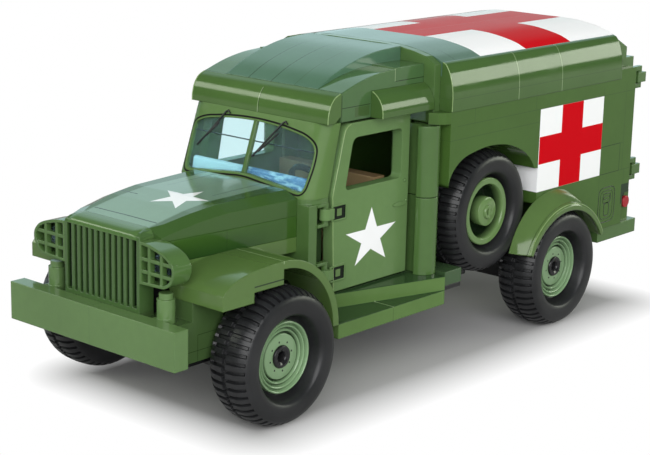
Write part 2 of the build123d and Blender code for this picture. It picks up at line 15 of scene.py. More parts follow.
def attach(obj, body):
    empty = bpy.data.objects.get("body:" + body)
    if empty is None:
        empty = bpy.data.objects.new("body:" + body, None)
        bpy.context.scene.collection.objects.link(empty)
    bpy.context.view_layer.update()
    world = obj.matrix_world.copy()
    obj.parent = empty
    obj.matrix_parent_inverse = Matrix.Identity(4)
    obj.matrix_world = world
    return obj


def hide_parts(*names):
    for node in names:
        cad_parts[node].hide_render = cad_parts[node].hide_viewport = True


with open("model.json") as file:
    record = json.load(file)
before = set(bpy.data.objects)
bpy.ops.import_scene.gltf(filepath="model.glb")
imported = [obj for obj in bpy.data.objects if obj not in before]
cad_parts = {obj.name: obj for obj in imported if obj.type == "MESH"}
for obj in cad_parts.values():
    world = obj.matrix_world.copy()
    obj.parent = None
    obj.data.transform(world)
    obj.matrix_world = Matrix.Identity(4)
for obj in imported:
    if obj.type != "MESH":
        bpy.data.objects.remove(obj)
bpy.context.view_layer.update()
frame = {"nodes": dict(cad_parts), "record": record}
nodes = frame["nodes"]

X_FRONT = 98.0
MM = 0.001
SIDES = (("left", 1), ("right", -1))
scene = bpy.context.scene

# Camera

AZIMUTH = 2.2896687
ELEVATION = 0.2501013
ROLL = 0.0231960
EYE = (0.349345, 0.293537, 0.147063)
LENS = 93.694
SENSOR_WIDTH = 36.0


def stand(thing, right, up, back, where):
    """Puts an object into the scene by its three axes and its place."""
    scene.collection.objects.link(thing)
    thing.matrix_world = Matrix([[right[i], up[i], back[i], where[i]] for i in range(3)] + [[0, 0, 0, 1]])


def make_camera():
    """Camera at the photograph's place: its axes are turned by azimuth, elevation and a small roll."""
    back = np.array([math.sin(AZIMUTH) * math.cos(ELEVATION), -math.cos(AZIMUTH) * math.cos(ELEVATION),
                     math.sin(ELEVATION)])
    right = np.array([math.cos(AZIMUTH), math.sin(AZIMUTH), 0.0])
    up = np.cross(back, right)
    data = bpy.data.cameras.new("photo_camera")
    data.sensor_fit = "HORIZONTAL"
    data.sensor_width = SENSOR_WIDTH
    data.lens = LENS
    data.clip_start = 0.01
    data.clip_end = 20.0
    camera = bpy.data.objects.new("photo_camera", data)
    stand(camera, math.cos(ROLL) * right + math.sin(ROLL) * up, math.cos(ROLL) * up - math.sin(ROLL) * right,
          back, EYE)
    scene.camera = camera


make_camera()

# Shapes

WELD = 1e-7
SHARP_ANGLE = 32.0


def place(points):
    """(s, y, z) in millimetres to the frame's (X, Y, Z) in metres: X is X_FRONT less s."""
    p = np.asarray(points, float)
    return np.stack([X_FRONT - p[..., 0], p[..., 1], p[..., 2]], -1) * MM


def curve_through(points, count):
    """Smooth curve through points: each stretch is a cubic whose slope at a point is half the step
    between that point's two neighbours."""
    p = np.asarray(points, float)
    ext = np.vstack([2 * p[:1] - p[1:2], p, 2 * p[-1:] - p[-2:-1]])
    t = np.linspace(0, len(p) - 1, count)
    k = np.minimum(np.floor(t).astype(int), len(p) - 2)
    f = (t - k)[:, None]
    a, b, c, d = ext[k], ext[k + 1], ext[k + 2], ext[k + 3]
    return b + 0.5 * f * (c - a + f * (2 * a - 5 * b + 4 * c - d + f * (3 * (b - c) + d - a)))


def rounded(points, radii, steps):
    """Closed outline with its corners rounded: each corner is a curve from one side to the next,
    a quadratic whose control point is the corner and whose ends lie the radius away from it."""
    p = np.asarray(points, float)
    r = np.broadcast_to(np.asarray(radii, float), (len(p),))[:, None]
    before = np.roll(p, 1, 0) - p
    after = np.roll(p, -1, 0) - p
    a = p + before / np.linalg.norm(before, axis=1, keepdims=True) * r
    b = p + after / np.linalg.norm(after, axis=1, keepdims=True) * r
    t = np.linspace(0, 1, steps + 1)[None, :, None]
    bend = a[:, None] * (1 - t) ** 2 + 2 * p[:, None] * t * (1 - t) + b[:, None] * t ** 2
    bend = bend.reshape(-1, p.shape[1])
    keep = np.linalg.norm(bend - np.roll(bend, 1, 0), axis=1) > 1e-6
    return bend[keep]


def grown(loop, amount):
    """Outline moved outward by an amount, square to its sides."""
    p = np.asarray(loop, float)
    along = np.roll(p, -1, 0) - np.roll(p, 1, 0)
    out = np.stack([along[:, 1], -along[:, 0]], -1)
    out /= np.linalg.norm(out, axis=1, keepdims=True)
    area = np.sum(p[:, 0] * np.roll(p[:, 1], -1) - np.roll(p[:, 0], -1) * p[:, 1])
    return p + out * amount * np.sign(area)


def rectangle(u0, u1, v0, v1):
    """The four corners between u0 and u1 and between v0 and v1, in order."""
    return [(u0, v0), (u1, v0), (u1, v1), (u0, v1)]


def grid_faces(rows, cols, ring):
    """Quads of a grid of points, as rows of four indices. Each row is a loop, and a ring joins its last row
    to its first."""
    i, j = np.meshgrid(np.arange(rows if ring else rows - 1), np.arange(cols), indexing="ij")
    i2 = (i + 1) % rows
    j2 = (j + 1) % cols
    return np.stack([i * cols + j, i * cols + j2, i2 * cols + j2, i2 * cols + j], -1).reshape(-1, 4)


def build(name, parts, finish, replaces=(), body="hull"):
    """One piece from closed surfaces, each (grid of s, y, z points, ring). A grid that is no ring gets a
    flat face at each end. Faces are then turned outward."""
    verts = []
    faces = []
    start = 0
    for grid, ring in parts:
        rows, cols = grid.shape[:2]
        verts.append(place(grid).reshape(-1, 3))
        faces += (grid_faces(rows, cols, ring) + start).tolist()
        if not ring:
            faces.append(list(range(start, start + cols)))
            faces.append(list(range(start + (rows - 1) * cols, start + rows * cols)))
        start += rows * cols
    mesh = bpy.data.meshes.new(name)
    mesh.from_pydata(np.vstack(verts).tolist(), [], faces)
    bm = bmesh.new()
    bm.from_mesh(mesh)
    bmesh.ops.remove_doubles(bm, verts=bm.verts, dist=WELD)
    bmesh.ops.dissolve_degenerate(bm, edges=bm.edges, dist=WELD)
    bmesh.ops.recalc_face_normals(bm, faces=bm.faces)
    for face in bm.faces:
        face.smooth = True
    bm.to_mesh(mesh)
    bm.free()
    mesh.set_sharp_from_angle(angle=math.radians(SHARP_ANGLE))
    piece = bpy.data.objects.new(name, mesh)
    scene.collection.objects.link(piece)
    mesh.materials.append(finish)
    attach(piece, body)
    if replaces:
        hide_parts(*replaces)


def carried(outline, order, start, end, side):
    """Closed outline of two coordinates carried along the third; `order` says where each belongs in
    (s, y, z). The start may be one value for each point, and y changes sign on the right side."""
    o = np.asarray(outline, float)
    grid = np.empty((2, len(o), 3))
    grid[..., order[0]] = o[:, 0]
    grid[..., order[1]] = o[:, 1]
    grid[0, :, order[2]] = start
    grid[1, :, order[2]] = end
    return grid * [1, side, 1], False


def along_s(outline, s0, s1, side=1):
    """Closed (y, z) outline carried back from s0 to s1."""
    return carried(outline, (1, 2, 0), s0, s1, side)


def along_y(outline, y0, y1, side=1):
    """Closed (s, z) outline carried across from y0 to y1."""
    return carried(outline, (0, 2, 1), y0, y1, side)


def along_z(outline, z0, z1, side=1):
    """Closed (s, y) outline carried up from z0 to z1."""
    return carried(outline, (0, 1, 2), z0, z1, side)


def at_s(curve, s, side):
    """(y, z) points at one s."""
    c = np.asarray(curve, float)
    return np.stack([np.full(len(c), s), c[:, 0] * side, c[:, 1]], -1)


def at_y(curve, y):
    """(s, z) points at one y."""
    c = np.asarray(curve, float)
    return np.stack([c[..., 0], np.full(c.shape[:-1], y), c[..., 1]], -1)


def at_wall(y, side):
    """Puts (s, z) points at one y on the left or the right side."""
    return lambda flat: at_y(flat, y * side)


def band_between(first, second, low, high):
    """Solid band between two outlines of equally many points; `low` and `high` put its faces in place."""
    return np.stack([low(first), high(first), high(second), low(second)]), True


def turned(outline, s, y_out, z, side=1, steps=96):
    """Closed (radius, depth) outline turned about the wheel axis: the depth counts inward from y_out."""
    o = np.asarray(outline, float)
    a = np.linspace(0, 2 * np.pi, steps, endpoint=False)[:, None]
    grid = np.stack([s + o[:, 0] * np.cos(a), np.broadcast_to(side * (y_out - o[:, 1]), (steps, len(o))),
                     z + o[:, 0] * np.sin(a)], -1)
    return grid, True


def rod(path, radius, sides):
    """Round rod along a path of points: a ring square to the path at each point."""
    p = np.asarray(path, float)
    t = np.gradient(p, axis=0)
    t /= np.linalg.norm(t, axis=1, keepdims=True)
    ref = np.array([0.31, 0.22, 0.93])
    u = np.cross(t, ref)
    u /= np.linalg.norm(u, axis=1, keepdims=True)
    v = np.cross(t, u)
    a = np.linspace(0, 2 * np.pi, sides, endpoint=False)
    ring = np.cos(a)[None, :, None] * u[:, None] + np.sin(a)[None, :, None] * v[:, None]
    return p[:, None] + radius * ring, False


def dome(centre, across, high, radius, height, sides):
    """Low dome on a surface: a quarter circle, raised along `across` x `high`, turned round its middle."""
    c = np.asarray(centre, float)
    u = np.asarray(across, float)
    v = np.asarray(high, float)
    n = np.cross(u, v)
    a = np.linspace(0, 2 * np.pi, sides, endpoint=False)[None, :, None]
    q = np.linspace(0, np.pi / 2 * 0.97, 4)[:, None, None]
    grid = c + radius * np.cos(q) * (np.cos(a) * u + np.sin(a) * v) + height * np.sin(q) * n
    return grid, False


def ray_angles(loops, centre, count):
    """Angles of rays from a centre: one to each corner of the loops, and `count` more shared out evenly."""
    corners = np.vstack(loops) - centre
    even = np.linspace(-np.pi, np.pi, count, False)
    return np.unique(np.round(np.concatenate([np.arctan2(corners[:, 1], corners[:, 0]), even]), 6))


def at_angles(loop, centre, angles):
    """Points where rays from a centre, at these angles, meet a closed outline that each ray crosses once."""
    p = np.asarray(loop, float)
    nxt = np.roll(p, -1, 0)
    t = np.linspace(0, 1, 40, endpoint=False)[None, :, None]
    dense = (p[:, None] * (1 - t) + nxt[:, None] * t).reshape(-1, 2) - centre
    ang = np.arctan2(dense[:, 1], dense[:, 0])
    rad = np.hypot(dense[:, 0], dense[:, 1])
    r = np.interp(angles, ang[np.argsort(ang)], rad[np.argsort(ang)], period=2 * np.pi)
    return np.stack([centre[0] + r * np.cos(angles), centre[1] + r * np.sin(angles)], -1)


def pierced(outer, inner, centre, front, back, rings):
    """Plate with one opening: rays from the centre cross the opening's edge and then the plate's edge, and
    points between them are shared out evenly. `front` and `back` put its two faces in place."""
    c = np.asarray(centre, float)
    angles = ray_angles((outer, inner), c, 120)
    near = at_angles(inner, c, angles)
    far = at_angles(outer, c, angles)
    t = np.linspace(0, 1, rings)[:, None, None]
    flat = near * (1 - t) + far * t
    return np.concatenate([front(flat), back(flat[::-1])]), True


# Shader nodes

SURFACE = [("Colour", "NodeSocketColor"), ("Roughness", "NodeSocketFloat"), ("Height", "NodeSocketFloat")]
MASK = [("Mask", "NodeSocketFloat")]
PRINT_EDGE = 0.00012


def feed(tree, node, values):
    """Feeds a node's inputs, by name or number, from sockets or with plain values."""
    for label, value in values.items():
        if isinstance(value, bpy.types.NodeSocket):
            tree.links.new(value, node.inputs[label])
        else:
            node.inputs[label].default_value = value
    return node


def add_node(tree, kind, values):
    """New shader node of a kind, with its inputs fed."""
    return feed(tree, tree.nodes.new("ShaderNode" + kind), values)


def group_node(tree, group, values):
    """Node that runs a shared group, with its inputs fed."""
    node = tree.nodes.new("ShaderNodeGroup")
    node.node_tree = group
    return feed(tree, node, values)


def new_group(name, inputs, outputs):
    """Empty shader node group with named sockets."""
    group = bpy.data.node_groups.new(name, "ShaderNodeTree")
    for label, kind, value in inputs:
        socket = group.interface.new_socket(label, in_out="INPUT", socket_type=kind)
        if value is not None:
            socket.default_value = value
    for label, kind in outputs:
        group.interface.new_socket(label, in_out="OUTPUT", socket_type=kind)
    return group, group.nodes.new("NodeGroupInput"), group.nodes.new("NodeGroupOutput")


def math_node(tree, operation, *values):
    """Result of a math node whose inputs are sockets or plain numbers."""
    node = tree.nodes.new("ShaderNodeMath")
    node.operation = operation
    feed(tree, node, dict(enumerate(values)))
    return node.outputs[0]


def noise_node(tree, vector, scale, detail, roughness=0.5):
    """Noise between 0 and 1."""
    node = add_node(tree, "TexNoise", {"Vector": vector, "Scale": scale, "Detail": detail,
                                       "Roughness": roughness})
    return node.outputs["Fac"]


def spread(tree, value, low, high, out_low, out_high):
    """A value spread from low..high to out_low..out_high and held inside them."""
    return add_node(tree, "MapRange", {0: value, 1: low, 2: high, 3: out_low, 4: out_high}).outputs[0]


def mix_colour(tree, mask, first, second):
    """Colour mix: the second where the mask is 1."""
    node = tree.nodes.new("ShaderNodeMix")
    node.data_type = "RGBA"
    first, second = ((*c, 1.0) if isinstance(c, tuple) else c for c in (first, second))
    feed(tree, node, {"Factor": mask, 6: first, 7: second})
    return node.outputs[2]


def length_of(tree, u, v):
    """Length of the flat vector (u, v)."""
    squares = [math_node(tree, "MULTIPLY", value, value) for value in (u, v)]
    return math_node(tree, "SQRT", math_node(tree, "ADD", *squares))


def object_place(tree):
    """Place on the object, in metres."""
    return tree.nodes.new("ShaderNodeTexCoord").outputs["Object"]


def group_moulded():
    """Moulded plastic: cloudy tone, faint flow marks, roughness that drifts and a slight swell."""
    group, gin, gout = new_group(
        "moulded_plastic",
        [("Place", "NodeSocketVector", None), ("Tone", "NodeSocketColor", None),
         ("Gloss", "NodeSocketFloat", 0.2)], SURFACE)
    where = gin.outputs["Place"]
    cloud = noise_node(group, where, 38.0, 3.0)
    fine = noise_node(group, where, 420.0, 2.0)
    smudge = noise_node(group, where, 95.0, 4.0, 0.6)
    swell = noise_node(group, where, 60.0, 1.0)
    value = math_node(group, "ADD", spread(group, cloud, 0.3, 0.7, 0.93, 1.06),
                      spread(group, fine, 0.3, 0.7, -0.02, 0.02))
    hue = add_node(group, "HueSaturation", {"Color": gin.outputs["Tone"], "Value": value})
    rough = math_node(group, "ADD", gin.outputs["Gloss"], spread(group, smudge, 0.35, 0.7, -0.03, 0.08))
    height = math_node(group, "ADD", swell, spread(group, fine, 0.0, 1.0, 0.0, 0.04))
    feed(group, gout, {"Colour": hue.outputs[0], "Roughness": rough, "Height": height})
    return group


def group_box():
    """Printed rectangle: 1 where U lies between U0 and U1 and V between V0 and V1, with edges Edge wide."""
    names = ("U", "V", "U0", "U1", "V0", "V1", "Edge")
    group, gin, gout = new_group("printed_box", [(n, "NodeSocketFloat", 0.0) for n in names], MASK)
    total = None
    for a, b in (("U", "U0"), ("U1", "U"), ("V", "V0"), ("V1", "V")):
        step = math_node(group, "SUBTRACT", gin.outputs[a], gin.outputs[b])
        step = math_node(group, "DIVIDE", step, gin.outputs["Edge"])
        node = math_node(group, "ADD", step, 0.5)
        node.node.use_clamp = True
        total = node if total is None else math_node(group, "MULTIPLY", total, node)
    feed(group, gout, {"Mask": total})
    return group


def group_star():
    """Printed five-pointed star round U = V = 0: the angle is folded into one tenth of a turn, and a
    straight edge from tip to notch says what lies inside."""
    group, gin, gout = new_group(
        "printed_star",
        [("U", "NodeSocketFloat", 0.0), ("V", "NodeSocketFloat", 0.0), ("Radius", "NodeSocketFloat", 0.008)],
        MASK)
    u = gin.outputs["U"]
    v = gin.outputs["V"]
    fold = math_node(group, "PINGPONG", math_node(group, "ARCTAN2", u, v), math.pi / 5)
    far = length_of(group, u, v)
    x = math_node(group, "MULTIPLY", far, math_node(group, "COSINE", fold))
    y = math_node(group, "MULTIPLY", far, math_node(group, "SINE", fold))
    notch = 0.382
    nx = notch * math.cos(math.pi / 5)
    ny = notch * math.sin(math.pi / 5)
    long = math.hypot(1 - nx, ny)
    away = math_node(group, "ADD", math_node(group, "MULTIPLY", x, ny / long),
                     math_node(group, "MULTIPLY", y, (1 - nx) / long))
    reach = math_node(group, "MULTIPLY", gin.outputs["Radius"], ny / long)
    inside = math_node(group, "SUBTRACT", reach, away)
    mask = math_node(group, "ADD", math_node(group, "DIVIDE", inside, PRINT_EDGE), 0.5)
    mask.node.use_clamp = True
    feed(group, gout, {"Mask": mask})
    return group


def group_rubber():
    """Tyre rubber: fine grain, dusty patches and a dull bloom."""
    group, gin, gout = new_group("tyre_rubber", [("Place", "NodeSocketVector", None)], SURFACE)
    grain = noise_node(group, gin.outputs["Place"], 2600.0, 2.0)
    cloud = noise_node(group, gin.outputs["Place"], 90.0, 4.0, 0.6)
    bloom = spread(group, cloud, 0.35, 0.7, 0.0, 1.0)
    rough = math_node(group, "ADD", spread(group, cloud, 0.3, 0.7, 0.30, 0.40),
                      spread(group, grain, 0.3, 0.7, -0.03, 0.03))
    feed(group, gout, {"Colour": mix_colour(group, bloom, (0.012, 0.0125, 0.0135), (0.021, 0.0215, 0.023)),
                       "Roughness": rough, "Height": grain})
    return group


MOULDED = group_moulded()
BOX = group_box()
STAR = group_star()
RUBBER = group_rubber()

# Finishes

GREEN = (0.067, 0.135, 0.038)
WHITE = (0.86, 0.87, 0.88)
RED = (0.54, 0.003, 0.008)
SEAM = (0.018, 0.036, 0.012)
# Pale joint lines: a painted highlight on the brick edges beside a joint
SEAM_HIGHLIGHT = (0.30, 0.40, 0.22)
SEAM_SOFT = (0.035, 0.07, 0.022)
INK = (0.012, 0.012, 0.011)


def new_material(name, values):
    """Node material, its tree, and its shader with inputs set."""
    material = bpy.data.materials.new(name)
    material.use_nodes = True
    tree = material.node_tree
    return material, tree, feed(tree, tree.nodes["Principled BSDF"], values)


def soften(tree, shader, height, radius, strength, distance):
    """Rounds edges in the shading and adds faint relief from a height."""
    soft = tree.nodes.new("ShaderNodeBevel")
    soft.samples = 6
    soft.inputs["Radius"].default_value = radius
    bump = add_node(tree, "Bump", {"Strength": strength, "Distance": distance, "Height": height,
                                   "Normal": soft.outputs[0]})
    feed(tree, shader, {"Normal": bump.outputs[0]})


class Finish:
    """A material under construction: moulded plastic with prints, seams and soft brick edges. A gloss coat
    lies over it where `coat` is given."""

    def __init__(self, name, tone, gloss=0.075, edge=0.00036, coat=None, ior=1.5):
        self.material, self.tree, self.shader = new_material(name, {"IOR": ior})
        self.printed = None
        self.coat = coat
        if coat:
            feed(self.tree, self.shader, {"Coat Weight": coat, "Coat IOR": 1.5, "Coat Roughness": 0.12})
        self.place = object_place(self.tree)
        self.x, self.y, self.z = add_node(self.tree, "SeparateXYZ", {0: self.place}).outputs
        body = group_node(self.tree, MOULDED, {"Place": self.place, "Tone": (*tone, 1.0), "Gloss": gloss})
        self.colour = body.outputs["Colour"]
        feed(self.tree, self.shader, {"Roughness": body.outputs["Roughness"]})
        soften(self.tree, self.shader, body.outputs["Height"], edge, 0.25, 0.0002)

    def axis(self, name):
        """Coordinate by name, in metres: s, y, z, or side, which is |y|."""
        if name == "s":
            return math_node(self.tree, "SUBTRACT", X_FRONT * MM, self.x)
        if name == "side":
            return math_node(self.tree, "ABSOLUTE", self.y)
        return {"y": self.y, "z": self.z}[name]

    def fade(self, name, low, high, out_low, out_high):
        """Mask that runs from out_low to out_high between two millimetre values of a named coordinate."""
        return spread(self.tree, self.axis(name), low * MM, high * MM, out_low, out_high)

    def box(self, u, v, u0, u1, v0, v1, edge=0.08):
        """Mask of a rectangle in millimetres on two named coordinates."""
        values = {"U": self.axis(u), "V": self.axis(v)}
        for label, value in (("U0", u0), ("U1", u1), ("V0", v0), ("V1", v1), ("Edge", edge)):
            values[label] = value * MM
        return group_node(self.tree, BOX, values).outputs[0]

    def star(self, u, v, u0, v0, radius, stretch=1.0):
        """Mask of a star round (u0, v0) with a tip along v, stretched along u."""
        du = math_node(self.tree, "DIVIDE", math_node(self.tree, "SUBTRACT", self.axis(u), u0 * MM), stretch)
        dv = math_node(self.tree, "SUBTRACT", self.axis(v), v0 * MM)
        return group_node(self.tree, STAR, {"U": du, "V": dv, "Radius": radius * MM}).outputs[0]

    def both(self, first, second):
        """Mask that is 1 where both are."""
        return math_node(self.tree, "MULTIPLY", first, second)

    def either(self, first, second):
        """Mask that is 1 where one of them is."""
        return math_node(self.tree, "MAXIMUM", first, second)

    def put(self, mask, colour, matt=False):
        """Lays a colour on where the mask is 1; a matt print has no gloss coat over it."""
        self.colour = mix_colour(self.tree, mask, self.colour, colour)
        if matt:
            self.printed = mask if self.printed is None else self.either(self.printed, mask)

    def seams(self, lines, width=0.16, colour=SEAM):
        """Thin lines between bricks: each (coordinate across it, its value, other coordinate, from, to)."""
        total = None
        for across, value, other, start, end in lines:
            mask = self.box(across, other, value - width / 2, value + width / 2, start, end, edge=0.06)
            total = mask if total is None else self.either(total, mask)
        self.put(total, colour)

    def done(self):
        """The finished material: the colour is joined, and the coat where nothing matt is printed."""
        feed(self.tree, self.shader, {"Base Color": self.colour})
        if self.printed is not None:
            bare = math_node(self.tree, "SUBTRACT", 1.0, self.printed)
            feed(self.tree, self.shader, {"Coat Weight": math_node(self.tree, "MULTIPLY", bare, self.coat)})
        return self.material


def rubber_finish():
    """Satin black rubber."""
    material, tree, shader = new_material("tyre_rubber", {"IOR": 1.42})
    body = group_node(tree, RUBBER, {"Place": object_place(tree)})
    feed(tree, shader, {"Base Color": body.outputs["Colour"], "Roughness": body.outputs["Roughness"]})
    soften(tree, shader, body.outputs["Height"], 0.00018, 0.15, 0.00008)
    return material


def clear_finish(name, tint):
    """Clear tinted plastic; faint noise in its roughness."""
    material, tree, shader = new_material(name, {"IOR": 1.25, "Transmission Weight": 0.965})
    cloud = noise_node(tree, object_place(tree), 70.0, 2.0)
    low = tuple(c * 0.94 for c in tint)
    feed(tree, shader, {"Roughness": spread(tree, cloud, 0.3, 0.7, 0.03, 0.06),
                        "Base Color": mix_colour(tree, cloud, low, tint)})
    return material


green = Finish("green_plastic", GREEN).done()
black = Finish("black_plastic", (0.012, 0.012, 0.013)).done()
tan = Finish("tan_plastic", (0.30, 0.20, 0.10)).done()
red_lamp = Finish("red_lamp_plastic", (0.34, 0.008, 0.016), gloss=0.08).done()
# Painted shade: the floor plate's visible top, under the door, is a darkened copy of the green
shaded_floor_finish = Finish("shaded_floor_plastic", (0.042, 0.085, 0.034)).done()
arch_finish = Finish("rear_fender_plastic", (0.084, 0.150, 0.043), gloss=0.08).done()
# Painted shade: a dark green for sheets put behind the guards' cells and in the doors' front gaps
shade_sheet = Finish("shade_sheet_plastic", (0.022, 0.045, 0.016)).done()
line_green = Finish("hatch_line_plastic", (0.016, 0.034, 0.012)).done()
# Pale green for the edge beads: a painted highlight along edges
highlight_bead_finish = Finish("edge_highlight_plastic", (0.200, 0.300, 0.120), gloss=0.06, edge=0.0001).done()
frame_green = Finish("windscreen_frame_plastic", (0.092, 0.168, 0.052), gloss=0.2, ior=1.2).done()
ink = Finish("black_line_plastic", INK, gloss=0.6, edge=0.00005, ior=1.08).done()
rubber = rubber_finish()
glass = clear_finish("windscreen_clear", (0.66, 0.92, 0.95))
lens_clear = clear_finish("lens_clear", (0.62, 0.78, 0.92))

# The rim's pale green is partly its own lighter tone and partly a painted highlight from its ridges
wheel_green = Finish("wheel_green_plastic", (0.190, 0.305, 0.162), gloss=0.07, edge=0.0002)
# Painted shade in the dish: darkened deeper in than 33.6 mm from the middle, fully by 32.9 mm
wheel_green.put(wheel_green.fade("side", 32.9, 33.6, 1.0, 0.0), (0.018, 0.040, 0.016))
green_rim = wheel_green.done()

spare_green = Finish("spare_green_plastic", (0.125, 0.215, 0.075))
# Painted shade: the dish is darkened from y 29.2 mm inward, fully by 26.6 mm
spare_green.put(spare_green.fade("y", 26.6, 29.2, 1.0, 0.0), (0.008, 0.020, 0.007))
spare_rim_finish = spare_green.done()

blue_sill = Finish("blue_sill_plastic", (0.14, 0.27, 0.52), gloss=0.05)
# Painted glints: pale streaks of painted highlight on the sill
glint_stretch = add_node(blue_sill.tree, "Mapping", {"Vector": blue_sill.place, "Scale": (260.0, 260.0, 900.0)})
glints = noise_node(blue_sill.tree, glint_stretch.outputs[0], 1.0, 2.0)
blue_sill.put(spread(blue_sill.tree, glints, 0.45, 0.62, 0.0, 1.0), (0.62, 0.76, 0.92))
# Painted reflection: the sill whitens towards its right end, below y 1 mm
blue_sill.put(blue_sill.fade("y", -4.0, 1.0, 1.0, 0.0), (0.82, 0.88, 0.96))
sill_finish = blue_sill.done()

# The white panel's lowest and highest z, and the ends of the brick lines behind it
PANEL_LOW = 39.7
PANEL_HIGH = 63.5
LINE_END = 181.5
LINE_TOP = 48.1
wall = Finish("printed_body_side", (0.054, 0.116, 0.023), coat=0.6, ior=1.08)
outside = wall.box("side", "s", 31.0, 33.0, 90.0, 200.0)
wall.seams([
    ("z", 60.0, "s", 97.0, 138.5), ("z", 63.6, "s", 100.0, 188.0), ("s", 107.5, "z", 63.6, 67.7),
    ("s", 136.0, "z", 63.6, 67.7), ("s", 171.0, "z", 34.0, 66.0), ("s", 183.2, "z", PANEL_LOW, 66.0),
    ("z", LINE_TOP, "s", 171.0, 183.2), ("z", PANEL_LOW, "s", 171.0, 188.0),
    ("s", 184.5, "z", 22.8, PANEL_LOW)], width=0.13, colour=SEAM_SOFT)
wall.seams([("s", LINE_END, "z", PANEL_LOW, LINE_TOP), ("z", PANEL_LOW, "s", 171.0, LINE_END),
            ("z", LINE_TOP, "s", 171.0, LINE_END)], width=0.2)
wall.put(wall.box("s", "z", 138.3, 170.9, PANEL_LOW, PANEL_HIGH), WHITE)
# Painted shade over the recessed tail lamp block
wall.put(wall.box("s", "z", 183.6, 188.4, 28.9, 35.0), (0.018, 0.040, 0.016))
cross = wall.either(wall.box("s", "z", 149.3, 160.1, PANEL_LOW, PANEL_HIGH),
                    wall.box("s", "z", 138.5, 170.9, 47.63, 55.57))
wall.put(wall.both(cross, outside), RED, matt=True)
wall_finish = wall.done()

# The green is tinted blue as a painted reflection of the pale surround, over the coat's own reflection; the
# white and red are print
roof = Finish("printed_roof", (0.065, 0.130, 0.080), coat=0.85, ior=1.035)
roof.seams([("s", 102.5, "side", 0.0, 30.0), ("y", 0.0, "s", 97.0, 113.4),
            ("side", 15.0, "s", 97.0, 113.4)], width=0.14)
roof.put(roof.box("s", "side", 113.5, 200.0, 0.0, 40.0), WHITE, matt=True)
arms = roof.box("s", "side", 134.5, 156.7, 0.0, 40.0)
band = roof.box("s", "side", 113.2, 181.5, 0.0, 9.2)
roof.put(roof.either(arms, band), RED, matt=True)
roof_finish = roof.done()

rail = Finish("rail_plastic", (0.053, 0.112, 0.027), gloss=0.08)
# The pale lines at s 127 and 148 are painted highlights on the joints' edges
rail.seams([("s", 127.0, "z", 60.0, 85.0), ("s", 148.0, "z", 60.0, 85.0)], colour=SEAM_HIGHLIGHT)
rail.seams([("z", 71.0, "s", 97.0, 188.0)], width=0.12, colour=SEAM_SOFT)
rail_finish = rail.done()

HINGE_ZS = (29.8, 45.65)
# The door's green is a lighter copy of the wall's, painting in the light the door reflects
door = Finish("printed_door", (0.116, 0.206, 0.074), ior=1.25)
door_out = door.box("side", "s", 23.6, 26.0, 50.0, 95.0)
door_skin = door.box("side", "s", 24.1, 24.3, 50.0, 95.0)
door.put(door.both(door.star("s", "z", 74.5, 36.8, 8.0, 1.3), door_out), WHITE)
# Painted shade: each hinge recess on the door is darkened nearly black, with the hinge bar in it mid green
for hinge_z in HINGE_ZS:
    recess = door.box("s", "z", 58.9, 64.1, hinge_z - 1.8, hinge_z + 1.8)
    door.put(door.both(recess, door_skin), (0.005, 0.010, 0.005))
    eye = door.box("s", "z", 60.9, 62.7, hinge_z - 0.95, hinge_z + 0.95)
    door.put(door.both(eye, door_skin), (0.10, 0.17, 0.06))
door_finish = door.done()

# The bonnet's pale, blue-tinted green is a painted reflection of the pale surround; beyond 11.2 mm either
# side of the middle it gives way to darker green
bonnet = Finish("printed_bonnet", (0.168, 0.274, 0.192), gloss=0.09)
bonnet.put(bonnet.box("side", "s", 11.2, 30.0, 0.0, 60.0, 0.8), (0.040, 0.092, 0.020))
bonnet.seams([("s", 11.7, "side", 0.0, 11.0), ("s", 23.0, "y", -16.0, -8.0)], width=0.42)
bonnet.seams([("side", 8.0, "s", 33.0, 50.0)], width=0.14)
bonnet.put(bonnet.star("y", "s", 3.7, 26.5, 7.6), WHITE)
bonnet_finish = bonnet.done()

# The bonnet side is a darker copy of the green: painted shade and a painted reflection of the dark fender
# below
bonnet_side_shade = Finish("bonnet_side_shaded_plastic", (0.036, 0.092, 0.014))
bonnet_side_shade.seams([("s", 28.0, "z", 40.0, 50.0)], width=0.12)
# More painted shade, darker towards the bottom and the front
low = bonnet_side_shade.fade("z", 39.5, 45.5, 1.0, 0.0)
bonnet_side_shade.put(bonnet_side_shade.both(low, bonnet_side_shade.fade("s", 32.0, 46.0, 1.0, 0.0)), (0.012, 0.042, 0.008))
bonnet_side_shade_finish = bonnet_side_shade.done()

header = Finish("cab_header_plastic", (0.062, 0.126, 0.030), gloss=0.10)
header.seams([("y", 0.0, "z", 66.0, 74.6)], width=0.2)
# A pale line beside the middle joint, a painted highlight on its edge
header.seams([("y", -0.2, "z", 66.0, 74.6)], colour=SEAM_HIGHLIGHT)
header_finish = header.done()

# The green is tinted blue as a painted reflection of the pale surround
cab_top = Finish("cab_roof_plastic", (0.073, 0.156, 0.095), gloss=0.09)
cab_top.seams([("y", 0.0, "s", 61.0, 97.0), ("y", -8.0, "s", 61.0, 97.0)], width=0.2)
cab_top.seams([("y", 8.0, "s", 61.0, 97.0)], width=0.12, colour=(0.04, 0.08, 0.03))
cab_top_finish = cab_top.done()

cab_step = Finish("cab_step_plastic", (0.060, 0.130, 0.045))
# The dark line at z 76.5 is painted shadow under the overhanging block; the other lines are joints
cab_step.seams([("s", 62.0, "z", 68.0, 75.2), ("z", 71.9, "s", 62.0, 72.9), ("z", 76.5, "s", 82.6, 94.4)],
               width=0.2)
# A pale line at s 82.6, a painted highlight on the joint's edge
cab_step.seams([("s", 82.6, "z", 76.5, 82.0)], width=0.14, colour=SEAM_HIGHLIGHT)
